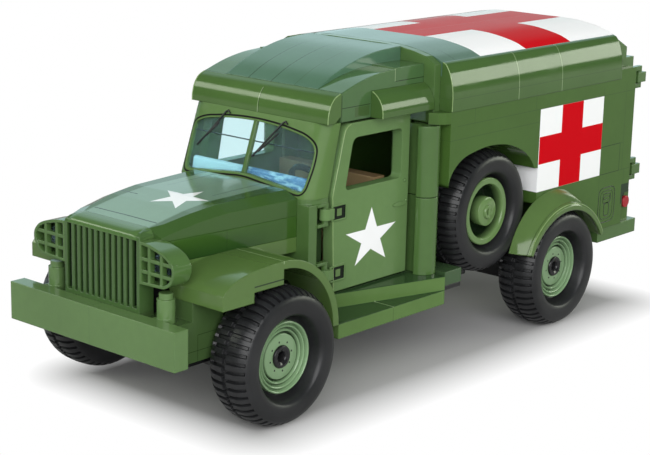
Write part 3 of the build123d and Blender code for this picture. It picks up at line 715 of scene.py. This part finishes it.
# Painted shade in a small recess near the header's end
step_recess_shade = cab_step.both(cab_step.box("s", "z", 67.0, 72.6, 69.1, 71.6),
                      cab_step.box("side", "s", 23.5, 24.5, 60, 75))
cab_step.put(step_recess_shade, (0.05, 0.10, 0.03))
cab_step_finish = cab_step.done()

deck = Finish("front_deck_plastic", (0.050, 0.095, 0.030))
deck.seams([("z", 20.6, "s", 4.0, 21.5), ("z", 24.4, "s", 12.5, 21.5), ("s", 12.5, "z", 17.9, 24.4)],
           width=0.14)
deck_finish = deck.done()

fender = Finish("front_fender_plastic", (0.083, 0.152, 0.040))
fender.seams([("z", 36.3, "s", 21.0, 31.0)], width=0.35)
# A pale line at s 31, a painted highlight on the joint's edge
fender.seams([("s", 31.0, "z", 40.0, 41.0)], width=0.18, colour=SEAM_HIGHLIGHT)
fender_finish = fender.done()

board = Finish("running_board_plastic", (0.092, 0.168, 0.049), ior=1.25)
# Painted shade: the board's top faces are darkened for the body's shade and the dark door reflected in them
shaded_tops = board.either(board.box("z", "s", 20.5, 20.7, 0.0, 200.0, 0.06),
                    board.box("z", "s", 24.25, 26.0, 0.0, 200.0, 0.05))
board.put(shaded_tops, (0.030, 0.066, 0.024))
# A pale line at s 72.6, a painted highlight on the joint's edge
board.seams([("s", 72.6, "z", 20.4, 20.9)], width=0.2, colour=SEAM_HIGHLIGHT)
board.seams([("s", 72.6, "z", 16.0, 20.5)], width=0.12, colour=SEAM_SOFT)
board_finish = board.done()

grille = Finish("grille_plastic", (0.050, 0.104, 0.030))
# Painted shade: the grille is darkened nearly black behind its bars
shade_behind_bars = grille.both(grille.box("side", "z", -1.0, 12.9, 30.2, 46.6),
                          grille.fade("s", 4.1, 5.2, 0.0, 1.0))
grille.put(shade_behind_bars, (0.006, 0.013, 0.006))
grille_finish = grille.done()

bumper = Finish("bumper_plastic", (0.097, 0.176, 0.060))
bumper.seams([("y", 0.0, "z", 19.0, 29.0)], width=0.1, colour=(0.07, 0.13, 0.05))
bumper_finish = bumper.done()

FINISH_BY_NODE = {
    "body_roof": roof_finish, "hood_top": bonnet_finish, "cab_roof_header": header_finish,
    "cab_roof_centre": cab_top_finish, "front_bumper": bumper_finish, "front_deck": deck_finish,
    "grille": grille_finish, "floor_plate": shaded_floor_finish}
for name, side in SIDES:
    FINISH_BY_NODE.update({
        "body_side_" + name: wall_finish, "roof_rail_" + name: rail_finish, "cab_door_" + name: door_finish,
        "hood_side_" + name: bonnet_side_shade_finish, "running_board_" + name: board_finish})
FINISH_BY_SLOT = {"green_plastic": green, "rim_green": green_rim, "black_plastic": black, "seat_tan": tan,
                  "tyre": rubber, "glass": glass, "lens": lens_clear, "red_lamp": red_lamp}
for part in frame["record"]["subparts"]:
    finish = FINISH_BY_NODE.get(part["node"], FINISH_BY_SLOT[part["material_slot"]])
    mesh = nodes[part["node"]].data
    mesh.materials.clear()
    mesh.materials.append(finish)

# Wheels

TYRE_R = 17.1
TYRE_W = 12.6
TYRE_OUT_Y = 37.5
AXLES = {"front": 30.7, "rear": 146.0}
LUGS = 48
LUG_DEPTH = 0.9
GROOVE_SWING = 0.4


def tyre(s, y_out, z, side):
    """Tyre turned from half an outline and its mirror image. Lugs: on each half of the tread, a slot as deep
    as `depth` is cut where the turn's place within one lug pitch lies in that half's slot; the halves are
    half a pitch apart. The middle groove swings from side to side once a pitch, as a triangle wave."""
    half = np.array([(9.0, 4.5), (9.5, 4.4), (9.95, 4.0), (10.25, 3.1), (10.45, 2.1), (10.65, 1.2),
                     (10.95, 0.55), (11.4, 0.2), (12.4, 0.0), (14.0, 0.0), (15.1, 0.22), (15.6, 0.6),
                     (15.75, 0.8), (16.1, 1.3), (16.45, 1.9), (16.75, 2.6), (16.95, 3.4), (17.02, 4.6),
                     (17.1, 5.75), (17.1, 5.95)])
    cut = np.array([0.0] * 12 + [1.0] * 8)
    outline = np.vstack([half, half[::-1] * [1, -1] + [0, TYRE_W]])
    rows = len(outline)
    near = np.arange(rows) < len(half)
    deep = np.concatenate([cut, cut[::-1]])
    groove = np.zeros(rows)
    groove[[len(half) - 1, len(half)]] = 1.0
    slope = np.gradient(outline, axis=0)
    normal = np.stack([-slope[:, 1], slope[:, 0]], -1)
    normal /= np.linalg.norm(normal, axis=1, keepdims=True)
    columns = np.array([-0.22, -0.18, 0.18, 0.22, 0.25, 0.28, 0.32, 0.68, 0.72, 0.75])
    slot_near = np.array([0, 1, 1, 0, 0, 0, 0, 0, 0, 0.0])
    slot_far = np.array([0, 0, 0, 0, 0, 0, 1, 1, 0, 0.0])
    turn = ((np.arange(LUGS)[:, None] + columns) / LUGS).ravel() * 2 * np.pi
    slots = np.where(near[None, :], np.tile(slot_near, LUGS)[:, None], np.tile(slot_far, LUGS)[:, None])
    depth = LUG_DEPTH * np.maximum(slots * deep[None, :], groove[None, :])
    wave = GROOVE_SWING * (4 * np.abs(np.tile(columns, LUGS) % 1.0 - 0.5) - 1)
    reach = np.clip((outline[:, 0] - 16.99) / 0.1, 0, 1)
    r = outline[None, :, 0] + depth * normal[None, :, 0]
    d = outline[None, :, 1] + depth * normal[None, :, 1] + wave[:, None] * reach[None, :]
    grid = np.stack([s + r * np.cos(turn)[:, None], side * (y_out - d), z + r * np.sin(turn)[:, None]], -1)
    return grid, True


RIM = [(2.26, 5.4), (2.26, 4.1), (2.6, 3.85), (5.3, 3.75), (5.6, 3.9), (5.75, 4.5), (5.95, 4.7),
       (6.15, 4.3), (6.3, 3.7), (6.55, 3.5), (6.75, 3.75), (6.9, 4.3), (7.1, 4.4), (7.25, 3.8), (7.4, 3.3),
       (7.65, 3.15), (7.85, 3.4), (7.95, 3.9), (8.12, 4.0), (8.25, 3.3), (8.4, 2.85), (8.6, 2.7),
       (8.85, 2.8), (8.98, 3.3), (8.98, 9.4), (7.9, 9.6), (7.2, 7.6), (4.6, 7.6), (4.6, 17.0), (2.26, 17.0)]
SPARE_RIM = [(0.02, 1.5), (3.6, 1.5), (4.0, 1.7), (4.1, 2.2), (4.1, 7.6), (7.0, 7.6), (7.3, 5.0), (7.4, 2.9),
             (7.5, 2.2), (7.75, 1.9), (9.1, 1.9), (9.4, 2.1), (9.45, 2.7), (8.98, 3.4), (8.98, 9.4),
             (7.9, 9.6), (7.2, 10.6), (0.02, 10.6)]
HUB = [(1.0, 5.2), (1.0, 4.2), (1.4, 3.5), (2.1, 3.2), (2.7, 3.3), (2.9, 3.7), (2.6, 4.4), (2.2, 5.2)]
PIN_END = [(0.9, 1.6), (0.95, 1.1), (1.3, 0.85), (1.8, 0.9), (2.0, 1.2), (2.05, 1.6)]
NUT_CIRCLE = 3.75

for end, s in AXLES.items():
    for name, side in SIDES:
        wheel = "%s_%s" % (end, name)
        body = "wheel_" + wheel
        build("tread_" + wheel, [tyre(s, TYRE_OUT_Y, TYRE_R, side)], rubber, ["tyre_" + wheel], body)
        build("disc_" + wheel, [turned(RIM, s, TYRE_OUT_Y, TYRE_R, side)], green_rim, ["rim_" + wheel], body)
        build("hub_" + wheel, [turned(HUB, s, TYRE_OUT_Y, TYRE_R, side, 48)], black, body=body)
        nuts = []
        for k in range(8):
            a = math.radians(45 * k + 10)
            centre = (s + NUT_CIRCLE * math.cos(a), side * (TYRE_OUT_Y - 3.95),
                      TYRE_R + NUT_CIRCLE * math.sin(a))
            nuts.append(dome(centre, (1, 0, 0), (0, 0, -side), 0.36, 0.22, 10))
        build("nuts_" + wheel, nuts, black, body=body)

SPARE_S = 117.4
SPARE_Z = 37.4
SPARE_OUT_Y = 31.5
build("tread_spare", [tyre(SPARE_S, SPARE_OUT_Y, SPARE_Z, 1)], rubber, ["spare_tyre"])
build("disc_spare", [turned(SPARE_RIM, SPARE_S, SPARE_OUT_Y, SPARE_Z)], spare_rim_finish, ["spare_rim"])
pin_slot = rounded(rectangle(SPARE_S - 0.45, SPARE_S + 0.45, SPARE_Z - 1.9, SPARE_Z + 1.9), 0.4, 4)
build("spare_pin_end", [turned(PIN_END, SPARE_S, SPARE_OUT_Y, SPARE_Z, 1, 40),
                        along_y(pin_slot, SPARE_OUT_Y - 1.6, SPARE_OUT_Y - 0.7)], spare_rim_finish)

# Windscreen

SCREEN_Y = 24.0
SCREEN_R = 4.5
SCREEN_LOW = 50.0
SCREEN_HIGH = 68.4
SCREEN_FOOT = 50.6
SCREEN_LEAN = 6.4
POST_FOOT = 57.6
POST_LEAN = 4.2


def screen_at(depth):
    """Puts (q, z) points on the windscreen: q runs round it from its middle. It is flat to the corner, then
    goes round a quarter circle and straight back. The front line leans back with height, and depth moves it
    inward."""
    def put(flat):
        q = np.abs(flat[..., 0])
        z = flat[..., 1]
        lift = (z - SCREEN_LOW) / (SCREEN_HIGH - SCREEN_LOW)
        front = SCREEN_FOOT + SCREEN_LEAN * lift
        back = POST_FOOT + POST_LEAN * lift
        flat_y = SCREEN_Y - SCREEN_R
        arc = SCREEN_R * np.pi / 2
        turn = np.clip((q - flat_y) / arc, 0, 1) * np.pi / 2
        past = np.clip(q - flat_y - arc, 0, 1)
        r = SCREEN_R - depth
        y = np.minimum(q, flat_y) + r * np.sin(turn)
        s = front + SCREEN_R - r * np.cos(turn) + past * (back - front - SCREEN_R)
        return np.stack([s, np.sign(flat[..., 0]) * y, z], -1)
    return put


Q_END = SCREEN_Y - SCREEN_R + SCREEN_R * math.pi / 2 + 1.0
screen_edge = rectangle(-Q_END, Q_END, SCREEN_LOW, SCREEN_HIGH)
HALF_OPENING = [(0, 53.4), (20.8, 51.4), (21.7, 58.6), (21.3, 63.0), (17.6, 64.7), (9.0, 65.9)]
opening = rounded(HALF_OPENING + [(0, 66.3)] + [(-y, z) for y, z in HALF_OPENING[:0:-1]],
                  [3.0, 1.9, 2.6, 2.0, 2.0, 4.0, 4.0, 4.0, 2.0, 2.0, 2.6, 1.9], 8)
build("windscreen_shell", [pierced(screen_edge, opening, (0, 59.5), screen_at(0), screen_at(1.4), 10)],
      frame_green, ["windscreen_frame"])
build("windscreen_line", [band_between(grown(opening, 0.5), grown(opening, 0.92), screen_at(0.05),
                                       screen_at(-0.05))], ink)
bar = np.array(rectangle(-0.55, 0.55, 53.3, 66.4))
build("windscreen_bar", [(np.stack([screen_at(0.0)(bar), screen_at(1.2)(bar)]), False)], green)


def wiper(points):
    """Wiper arm as a thin rod on the windscreen through (y, z) points."""
    return rod(screen_at(-0.35)(np.asarray(points, float)), 0.26, 8)


build("wipers", [wiper([(-9.0, 67.0), (-9.8, 67.6), (-10.6, 67.1), (-14.0, 62.4), (-17.9, 57.8)]),
                 wiper([(-12.0, 64.2), (-14.6, 61.4), (-16.6, 59.4)]),
                 wiper([(11.2, 66.9), (10.4, 67.5), (9.6, 67.0), (6.0, 62.6), (2.0, 57.7)]),
                 wiper([(8.8, 64.4), (6.2, 61.6), (3.6, 59.2)])], black)
pane = grown(opening, 0.2)
build("windscreen_pane", [(np.stack([screen_at(0.45)(pane), screen_at(1.15)(pane)]), False)], glass,
      ["windscreen_glass"])
sill = rounded([(53.4, 51.2), (56.2, 51.2), (56.6, 53.4), (54.6, 54.6), (53.8, 54.1)], 0.3, 4)
build("windscreen_sill", [along_y(sill, -19.9, 19.9)], sill_finish)

# Cab roof

CAB_Y = 24.0
CENTRE_Y = 16.0
CAB_FRONT = 61.8
CAB_BACK = 94.4
header_top = curve_through([(57.0, 68.4), (57.15, 70.6), (57.9, 72.9), (59.4, 74.7), (CAB_FRONT, 75.8)], 28)
header_loop = np.vstack([header_top, [(CAB_FRONT, 70.0), (59.6, 68.4)]])
build("cab_header", [along_y(header_loop, -CAB_Y, CAB_Y)], header_finish, ["cab_roof_header"])

centre_top = curve_through([(CAB_FRONT, 75.9), (68.0, 78.9), (76.0, 81.5), (84.0, 83.1),
                            (CAB_BACK, 83.7)], 40)
centre_loop = np.vstack([centre_top, [(CAB_BACK, 73.0), (CAB_FRONT, 73.0)]])
build("cab_roof_top", [along_y(centre_loop, -CENTRE_Y, CENTRE_Y)], cab_top_finish, ["cab_roof_centre"])

low_top = curve_through([(CAB_FRONT, 75.8), (69.0, 78.0), (76.0, 79.3), (82.8, 79.8)], 30)
low_loop = np.vstack([low_top, [(82.8, 80.0), (CAB_BACK, 80.0), (CAB_BACK, 68.4), (CAB_FRONT, 68.4)]])
eave_curve = curve_through([(28.0, 68.4), (27.9, 70.4), (27.2, 72.4), (25.9, 74.0), (24.0, 75.2)], 20)
eave_loop = np.vstack([[(24.0, 68.4)], eave_curve])
for name, side in SIDES:
    build("cab_roof_step_" + name, [along_y(low_loop, CENTRE_Y, CAB_Y, side)], cab_step_finish,
          ["cab_roof_side_" + name])
    build("cab_eave_" + name, [along_s(eave_loop, 73.2, CAB_BACK, side)], rail_finish)

# Body roof and rails

ROOF_FRONT = 97.0
ROOF_BACK = 179.5
half_roof = curve_through([(28.0, 80.5), (24.5, 81.9), (20.0, 82.9), (15.0, 83.6), (9.3, 83.8),
                           (0.0, 83.8)], 40)
across = np.vstack([half_roof, half_roof[-2::-1] * [-1, 1]])
roof_loop = np.vstack([across, [(-28.0, 76.8), (28.0, 76.8)]])
build("roof_arch", [along_s(roof_loop, ROOF_FRONT, ROOF_BACK)], roof_finish, ["body_roof"])
rail_curve = curve_through([(31.8, 71.6), (31.65, 73.6), (31.2, 75.7), (30.5, 77.8), (29.3, 79.8),
                            (28.0, 80.5)], 30)
rail_loop = np.vstack([[(18.7, 67.7), (31.8, 67.7)], rail_curve, [(28.0, 76.8), (18.7, 76.8)]])
for name, side in SIDES:
    build("rail_" + name, [along_s(rail_loop, ROOF_FRONT, ROOF_BACK, side)], rail_finish,
          ["roof_rail_" + name])

# Columns and rear fenders


def circle(s, z, r, angles):
    """(s, z) points on a circle at these angles."""
    return np.stack([s + r * np.cos(angles), z + r * np.sin(angles)], -1)


column = np.vstack([circle(93.2, 26.6, 3.7, np.pi - np.linspace(0, np.pi, 28)),
                    [(96.9, 22.0), (91.6, 22.0), (91.6, 26.6)]])
for name, side in SIDES:
    build("column_" + name, [along_z(column, 24.4, 45.3, side), along_z(column, 45.5, 64.4, side)], green,
          ["door_column_" + name])

ARCH_IN_Y = 31.6
ARCH_OUT_Y = 37.5


def flared_arch(side):
    """Rear fender: at each step of its arch, a rounded cross section runs from the wall out and down to the
    edge. The arch circle's middle and radius change evenly from the wall to the edge, and the crown swells
    between."""
    turn = np.linspace(0, 1, 49)[:, None]
    t = np.array([0.0, 0.25, 0.5, 0.72, 0.84, 0.86, 0.94, 1.0])[None, :]
    lip = np.array([0.0, 0.0, 0.0, 0.0, 0.0, 0.45, 0.45, 0.3])[None, :]
    swell = 1.1 * np.sin(np.pi * t ** 1.2) + 2 * lip
    y = ARCH_IN_Y + (ARCH_OUT_Y - ARCH_IN_Y) * t
    s0 = 146.5 + 0.6 * t
    z0 = 18.0 - 3.7 * t
    r = 21.3 - 0.7 * t + swell * 0.5
    low = np.arcsin((24.2 - z0) / r)
    a = low + (np.pi - 2 * low) * turn

    def shell(radius):
        return np.stack([s0 + radius * np.cos(a), np.broadcast_to(y, a.shape), z0 + radius * np.sin(a)], -1)
    loop = np.concatenate([shell(r), shell(r - 1.3)[:, ::-1]], 1)
    loop[..., 1] *= side
    return loop, False


for name, side in SIDES:
    build("rear_arch_" + name, [flared_arch(side)], arch_finish, ["rear_fender_" + name])

# Front fenders

FRONT_ARCH = (31.0, 20.5)
quarter = np.linspace(math.radians(90), 0, 40)
nose = curve_through([(10.7, 36.0), (12.0, 37.4), (14.0, 38.5), (17.0, 39.5), (21.0, 40.2), (26.0, 40.6),
                      (31.0, 40.7)], 30)
outline = np.vstack([[(10.7, 32.5)], nose, circle(*FRONT_ARCH, 20.2, quarter)[1:],
                     circle(*FRONT_ARCH, 18.2, quarter[::-1]), [(31.0, 35.0), (21.0, 35.0), (21.0, 32.5)]])
inside = np.interp(outline[:, 0], [8.6, 12.0, 20.0, 28.0, 50.6, 50.61, 53.7],
                   [16.0, 16.5, 17.3, 18.0, 20.0, 24.0, 24.0])
shelf = [(8.6, 12.0), (8.6, 16.0), (12.0, 16.5), (20.0, 17.3), (28.0, 18.0), (50.6, 20.0), (50.6, 12.0)]
for name, side in SIDES:
    build("front_arch_" + name, [along_y(outline, inside, 34.0, side), along_z(shelf, 36.6, 40.4, side)],
          fender_finish, ["front_fender_" + name])

# Grille cowl and headlight guards

COWL_Y = 13.25
cowl_top = curve_through([(4.0, 46.5), (4.25, 47.4), (5.1, 48.1), (6.5, 48.5), (8.7, 48.7)], 20)
t = np.linspace(-1, 1, 41)[:, None]
drop = np.clip((np.abs(t) * COWL_Y - 10.4) / 2.85, 0, 1)
z = cowl_top[None, :, 1] - 1.6 * (1 - np.sqrt(1 - drop ** 2))
front = np.stack([np.broadcast_to(cowl_top[None, :, 0], z.shape), np.broadcast_to(t * COWL_Y, z.shape),
                  np.maximum(z, 46.5)], -1)
under = front[:, ::-1].copy()
under[..., 2] = 46.4
build("grille_cowl", [(np.concatenate([front, under], 1), False)], green)

GUARD = [(13.2, 46.5), (15.9, 46.4), (20.6, 45.3), (23.0, 44.2), (24.7, 42.3), (24.9, 40.4), (23.9, 38.0),
         (21.6, 36.6), (13.2, 36.3)]
GUARD_IN = [(13.9, 45.8), (15.8, 45.7), (20.4, 44.6), (22.6, 43.6), (24.0, 42.1), (24.2, 40.5), (23.3, 38.5),
            (21.3, 37.3), (13.9, 37.0)]
GUARD_MIDDLE = np.array([18.0, 41.2])
BAR = 0.85


def guard_ring(side):
    """Guard wall: a smooth outline and one 0.7 mm inside it, carried back."""
    out = rounded(GUARD, [0.3, 1.2, 1.1, 1.0, 0.9, 0.9, 1.0, 1.0, 0.3], 6)
    angles = ray_angles((out, GUARD_IN), GUARD_MIDDLE, 60)
    far = at_angles(out, GUARD_MIDDLE, angles)
    inner = rounded(GUARD_IN, [0.3, 1.2, 1.1, 0.9, 0.8, 0.8, 0.9, 0.9, 0.3], 6)
    near = at_angles(inner, GUARD_MIDDLE, angles)
    return band_between(far, near, lambda loop: at_s(loop, 4.0, side), lambda loop: at_s(loop, 9.7, side))


def guard_bars(side):
    """Upright and level bars of the guard, each a thin flat bar cut to the guard's outline."""
    bars = []
    out = np.asarray(GUARD_IN, float)
    for y in (16.0, 20.1):
        top = float(np.interp(y, out[:5, 0], out[:5, 1]))
        foot = float(np.interp(y, out[:5:-1, 0], out[:5:-1, 1]))
        bars.append(along_s(rectangle(y, y + BAR, foot - 0.3, top + 0.1), 4.1, 5.6, side))
    for z, end in ((39.0, 23.7), (42.0, 24.3)):
        bars.append(along_s(rectangle(13.6, end, z, z + BAR), 4.2, 5.5, side))
    return bars


for name, side in SIDES:
    build("light_guard_" + name, [guard_ring(side)] + guard_bars(side), green, ["headlight_guard_" + name])
    # The guard's back plate is dark green as painted shade inside the guard
    build("guard_back_" + name, [along_s(rounded(GUARD_IN, 0.2, 2), 7.4, 8.6, side)], shade_sheet)

# Small things on the body

WALL_Y = 31.5
HATCH_LINES = [(171.3, 180.2, 24.7, 35.4, 2.6, 0.26), (172.4, 179.1, 25.7, 34.4, 2.1, 0.16),
               (173.8, 177.8, 30.6, 33.5, 0.9, 0.24), (174.5, 177.2, 26.6, 30.6, 1.2, 0.26),
               (174.2, 177.5, 31.6, 32.6, 0.45, 0.16)]


def raised_line(loop, width, side):
    """Thin raised line that follows a closed outline on a side wall."""
    return band_between(grown(loop, -width / 2), grown(loop, width / 2), at_wall(WALL_Y, side),
                        at_wall(WALL_Y + 0.16, side))


for name, side in SIDES:
    rings = [raised_line(rounded(rectangle(s0, s1, z0, z1), r, 6), width, side)
             for s0, s1, z0, z1, r, width in HATCH_LINES]
    build("fuel_hatch_" + name, rings, line_green)
    build("recess_strip_" + name, [along_z(rectangle(95.0, 104.2, 17.0, 31.4), 19.3, 20.5, side),
                                   along_z(rectangle(104.2, 115.0, 17.0, 25.0), 19.3, 21.5, side)],
          black)
# Dark plates in the doors' front gaps, standing in for the shade there
for name, side in SIDES:
    build("door_gap_shade_" + name, [along_z(rectangle(54.6, 59.4, 19.4, 20.5), 25.4, 50.0, side)],
          shade_sheet)
build("deck_plate", [along_z(rectangle(9.0, 20.0, -22.0, 22.0), 16.2, 17.8)], black)

# Doors

DOOR_OUTLINE = [(60.0, 25.0), (58.9, 48.4), (58.5, 50.6), (62.6, 65.8), (64.0, 67.8), (89.2, 67.8),
                (89.2, 25.0)]
WINDOW = [(63.8, 50.8), (66.6, 64.0), (86.1, 64.0), (86.1, 50.8)]
DOOR_Y = 24.2
HINGE_S = 57.0
HINGE_Y = 23.6


def hinge_box(z, side):
    """Square rim round a hinge recess: a square outline and its hole, carried outward."""
    outer = rounded(rectangle(58.6, 64.4, z - 2.1, z + 2.1), 0.35, 3)
    inner = rounded(rectangle(59.0, 64.0, z - 1.7, z + 1.7), 0.25, 3)
    return band_between(inner, outer, at_wall(24.0, side), at_wall(24.45, side))


edge = rounded(DOOR_OUTLINE, [0.3, 0.5, 0.8, 1.2, 1.2, 0.4, 0.3], 5)
hole = rounded(WINDOW, [1.6, 2.0, 1.6, 1.6], 6)
grip_turn = np.linspace(0, 2 * np.pi, 32, endpoint=False)
grip = np.stack([85.8 + 2.8 * np.cos(grip_turn), 43.8 + 0.62 * np.sin(grip_turn)], -1)
for name, side in SIDES:
    parts = [pierced(edge, hole, (75.5, 57.4), at_wall(DOOR_Y, side), at_wall(21.0, side), 6)]
    for z in HINGE_ZS:
        parts.append(hinge_box(z, side))
        barrel = [(HINGE_S, HINGE_Y * side, z - 1.3), (HINGE_S, HINGE_Y * side, z + 1.6)]
        parts.append(rod(barrel, 1.55, 28))
        parts.append(along_z(rectangle(HINGE_S, 59.1, HINGE_Y, 25.0), z - 1.2, z + 1.5, side))
    build("door_panel_" + name, parts, door_finish, ["cab_door_" + name], body="cab_door_" + name)
    knobs = [dome((88.2, DOOR_Y * side, 44.5), (1, 0, 0), (0, 0, -side), 0.45, 0.5, 12),
             dome((87.6, DOOR_Y * side, 49.9), (1, 0, 0), (0, 0, -side), 0.5, 0.35, 12)]
    build("door_grip_" + name, [along_y(grip, 24.1, 24.5, side)] + knobs, door_finish,
          body="cab_door_" + name)

# Edge beads, coloured pale as painted highlights on the edges


def bead(name, path, body="hull", radius=0.15):
    """Thin round bead along a moulded edge, coloured pale as a painted highlight."""
    build(name, [rod(path, radius, 8)], highlight_bead_finish, body=body)


lip = circle(147.06, 14.52, 21.2, np.linspace(math.radians(28.0), math.radians(152.0), 50))
front_edge = curve_through([(59.9, 25.3), (59.4, 37.0), (58.95, 48.2), (59.0, 50.6), (60.9, 58.0),
                            (62.8, 65.2), (63.8, 66.9), (65.2, 67.6)], 60)
for name, side in SIDES:
    bead("rail_bead_" + name, at_s(np.vstack([[(31.75, 67.9)], rail_curve[:-1]]), 97.05, side))
    bead("eave_bead_" + name, at_s(eave_curve[:-1], 73.25, side))
    bead("header_bead_" + name, at_y(header_top[:-1], 23.9 * side))
    bead("fender_bead_" + name, at_y(lip, 37.15 * side))
    bead("door_bead_" + name, at_y(front_edge + [0.25, 0.0], DOOR_Y * side), "cab_door_" + name, 0.17)

# Stage and light

FLOOR_R = 3.0
FLOOR_SIDES = 96
FADE = 0.018
PLAIN_WHITE = (1.0, 1.0, 1.0, 1.0)


def make_stage():
    """Grey floor in a box round the truck, a painted shadow, that fades to plain white away from it: the
    fade counts from the box, given by the middle and half size of each axis in metres."""
    a = np.linspace(0, 2 * np.pi, FLOOR_SIDES, endpoint=False)
    ring = np.stack([FLOOR_R * np.cos(a), FLOOR_R * np.sin(a), np.zeros(FLOOR_SIDES)], -1)
    mesh = bpy.data.meshes.new("floor")
    mesh.from_pydata(ring.tolist(), [], [list(range(FLOOR_SIDES))])
    floor = bpy.data.objects.new("floor", mesh)
    scene.collection.objects.link(floor)
    material, tree, shader = new_material("pale_floor", {
        "Base Color": (0.48, 0.48, 0.48, 1.0), "Roughness": 0.9, "Specular IOR Level": 0.1})
    where = add_node(tree, "SeparateXYZ", {0: object_place(tree)})
    beyond = []
    # Painted shadow: the box inside which the camera sees the grey, lit floor instead of plain white
    for k, middle, half in ((0, -0.003, 0.077), (1, 0.004, 0.029)):
        away = math_node(tree, "ABSOLUTE", math_node(tree, "SUBTRACT", where.outputs[k], middle))
        beyond.append(math_node(tree, "MAXIMUM", math_node(tree, "SUBTRACT", away, half), 0.0))
    mask = spread(tree, length_of(tree, *beyond), 0.0, FADE, 0.0, 1.0)
    path = tree.nodes.new("ShaderNodeLightPath")
    seen = math_node(tree, "MAXIMUM", path.outputs["Is Camera Ray"], path.outputs["Is Transmission Ray"])
    glow = add_node(tree, "Emission", {"Color": PLAIN_WHITE})
    blend = add_node(tree, "MixShader", {0: math_node(tree, "MULTIPLY", mask, seen), 1: shader.outputs[0],
                                         2: glow.outputs[0]})
    feed(tree, tree.nodes["Material Output"], {"Surface": blend.outputs[0]})
    mesh.materials.append(material)


def soft_lamp(name, where, size, power, colour=(1.0, 1.0, 1.0)):
    """Oblong soft lamp that looks at the truck's middle."""
    data = bpy.data.lights.new(name, "AREA")
    data.shape = "RECTANGLE"
    data.size, data.size_y = size
    data.energy = power
    data.color = colour
    back = np.array(where, float) - (0.0, 0.0, 0.04)
    back /= np.linalg.norm(back)
    right = np.cross((0, 0, 1), back)
    right /= np.linalg.norm(right)
    stand(bpy.data.objects.new(name, data), right, np.cross(back, right), back, where)


def make_world():
    """White surround: plain white to the camera and through glass, and softer on matt surfaces. In gloss it
    is tinted, and bright only to one side and low."""
    world = bpy.data.worlds.new("studio")
    scene.world = world
    world.use_nodes = True
    tree = world.node_tree
    tree.nodes.clear()
    path = tree.nodes.new("ShaderNodeLightPath").outputs
    direct = math_node(tree, "MAXIMUM", path["Is Camera Ray"], path["Is Transmission Ray"])
    seen = math_node(tree, "MAXIMUM", direct, path["Is Glossy Ray"])
    where = tree.nodes.new("ShaderNodeTexCoord").outputs["Generated"]
    facing = tree.nodes.new("ShaderNodeVectorMath")
    facing.operation = "DOT_PRODUCT"
    feed(tree, facing, {0: where, 1: (-0.50, -0.87, 0.0)})
    height = add_node(tree, "SeparateXYZ", {0: where})
    shade = math_node(tree, "MULTIPLY", spread(tree, facing.outputs["Value"], 0.50, 0.75, 0.0, 1.0),
                      spread(tree, height.outputs["Z"], 0.57, 0.72, 1.0, 0.0))
    shade = spread(tree, shade, 0.0, 1.0, 0.10, 1.0)
    tint = mix_colour(tree, shade, (0.0, 0.0, 0.0), (0.72, 1.0, 1.02))
    tint = mix_colour(tree, direct, tint, (1.0, 1.0, 1.0))
    soft = add_node(tree, "Background", {"Color": PLAIN_WHITE, "Strength": 0.48})
    plain = add_node(tree, "Background", {"Color": tint, "Strength": 1.0})
    blend = add_node(tree, "MixShader", {0: seen, 1: soft.outputs[0], 2: plain.outputs[0]})
    add_node(tree, "OutputWorld", {0: blend.outputs[0]})


make_stage()
make_world()
BAND_LIGHT = (0.95, 1.0, 0.84)
soft_lamp("left_box", (0.580, -0.625, 0.470), (0.55, 0.26), 2.0, BAND_LIGHT)
soft_lamp("right_box", (-0.770, 0.450, 0.270), (0.60, 0.24), 2.1, BAND_LIGHT)
soft_lamp("fill", (0.68, 0.68, 0.46), (1.3, 0.75), 12.0)
scene.view_settings.view_transform = "Standard"
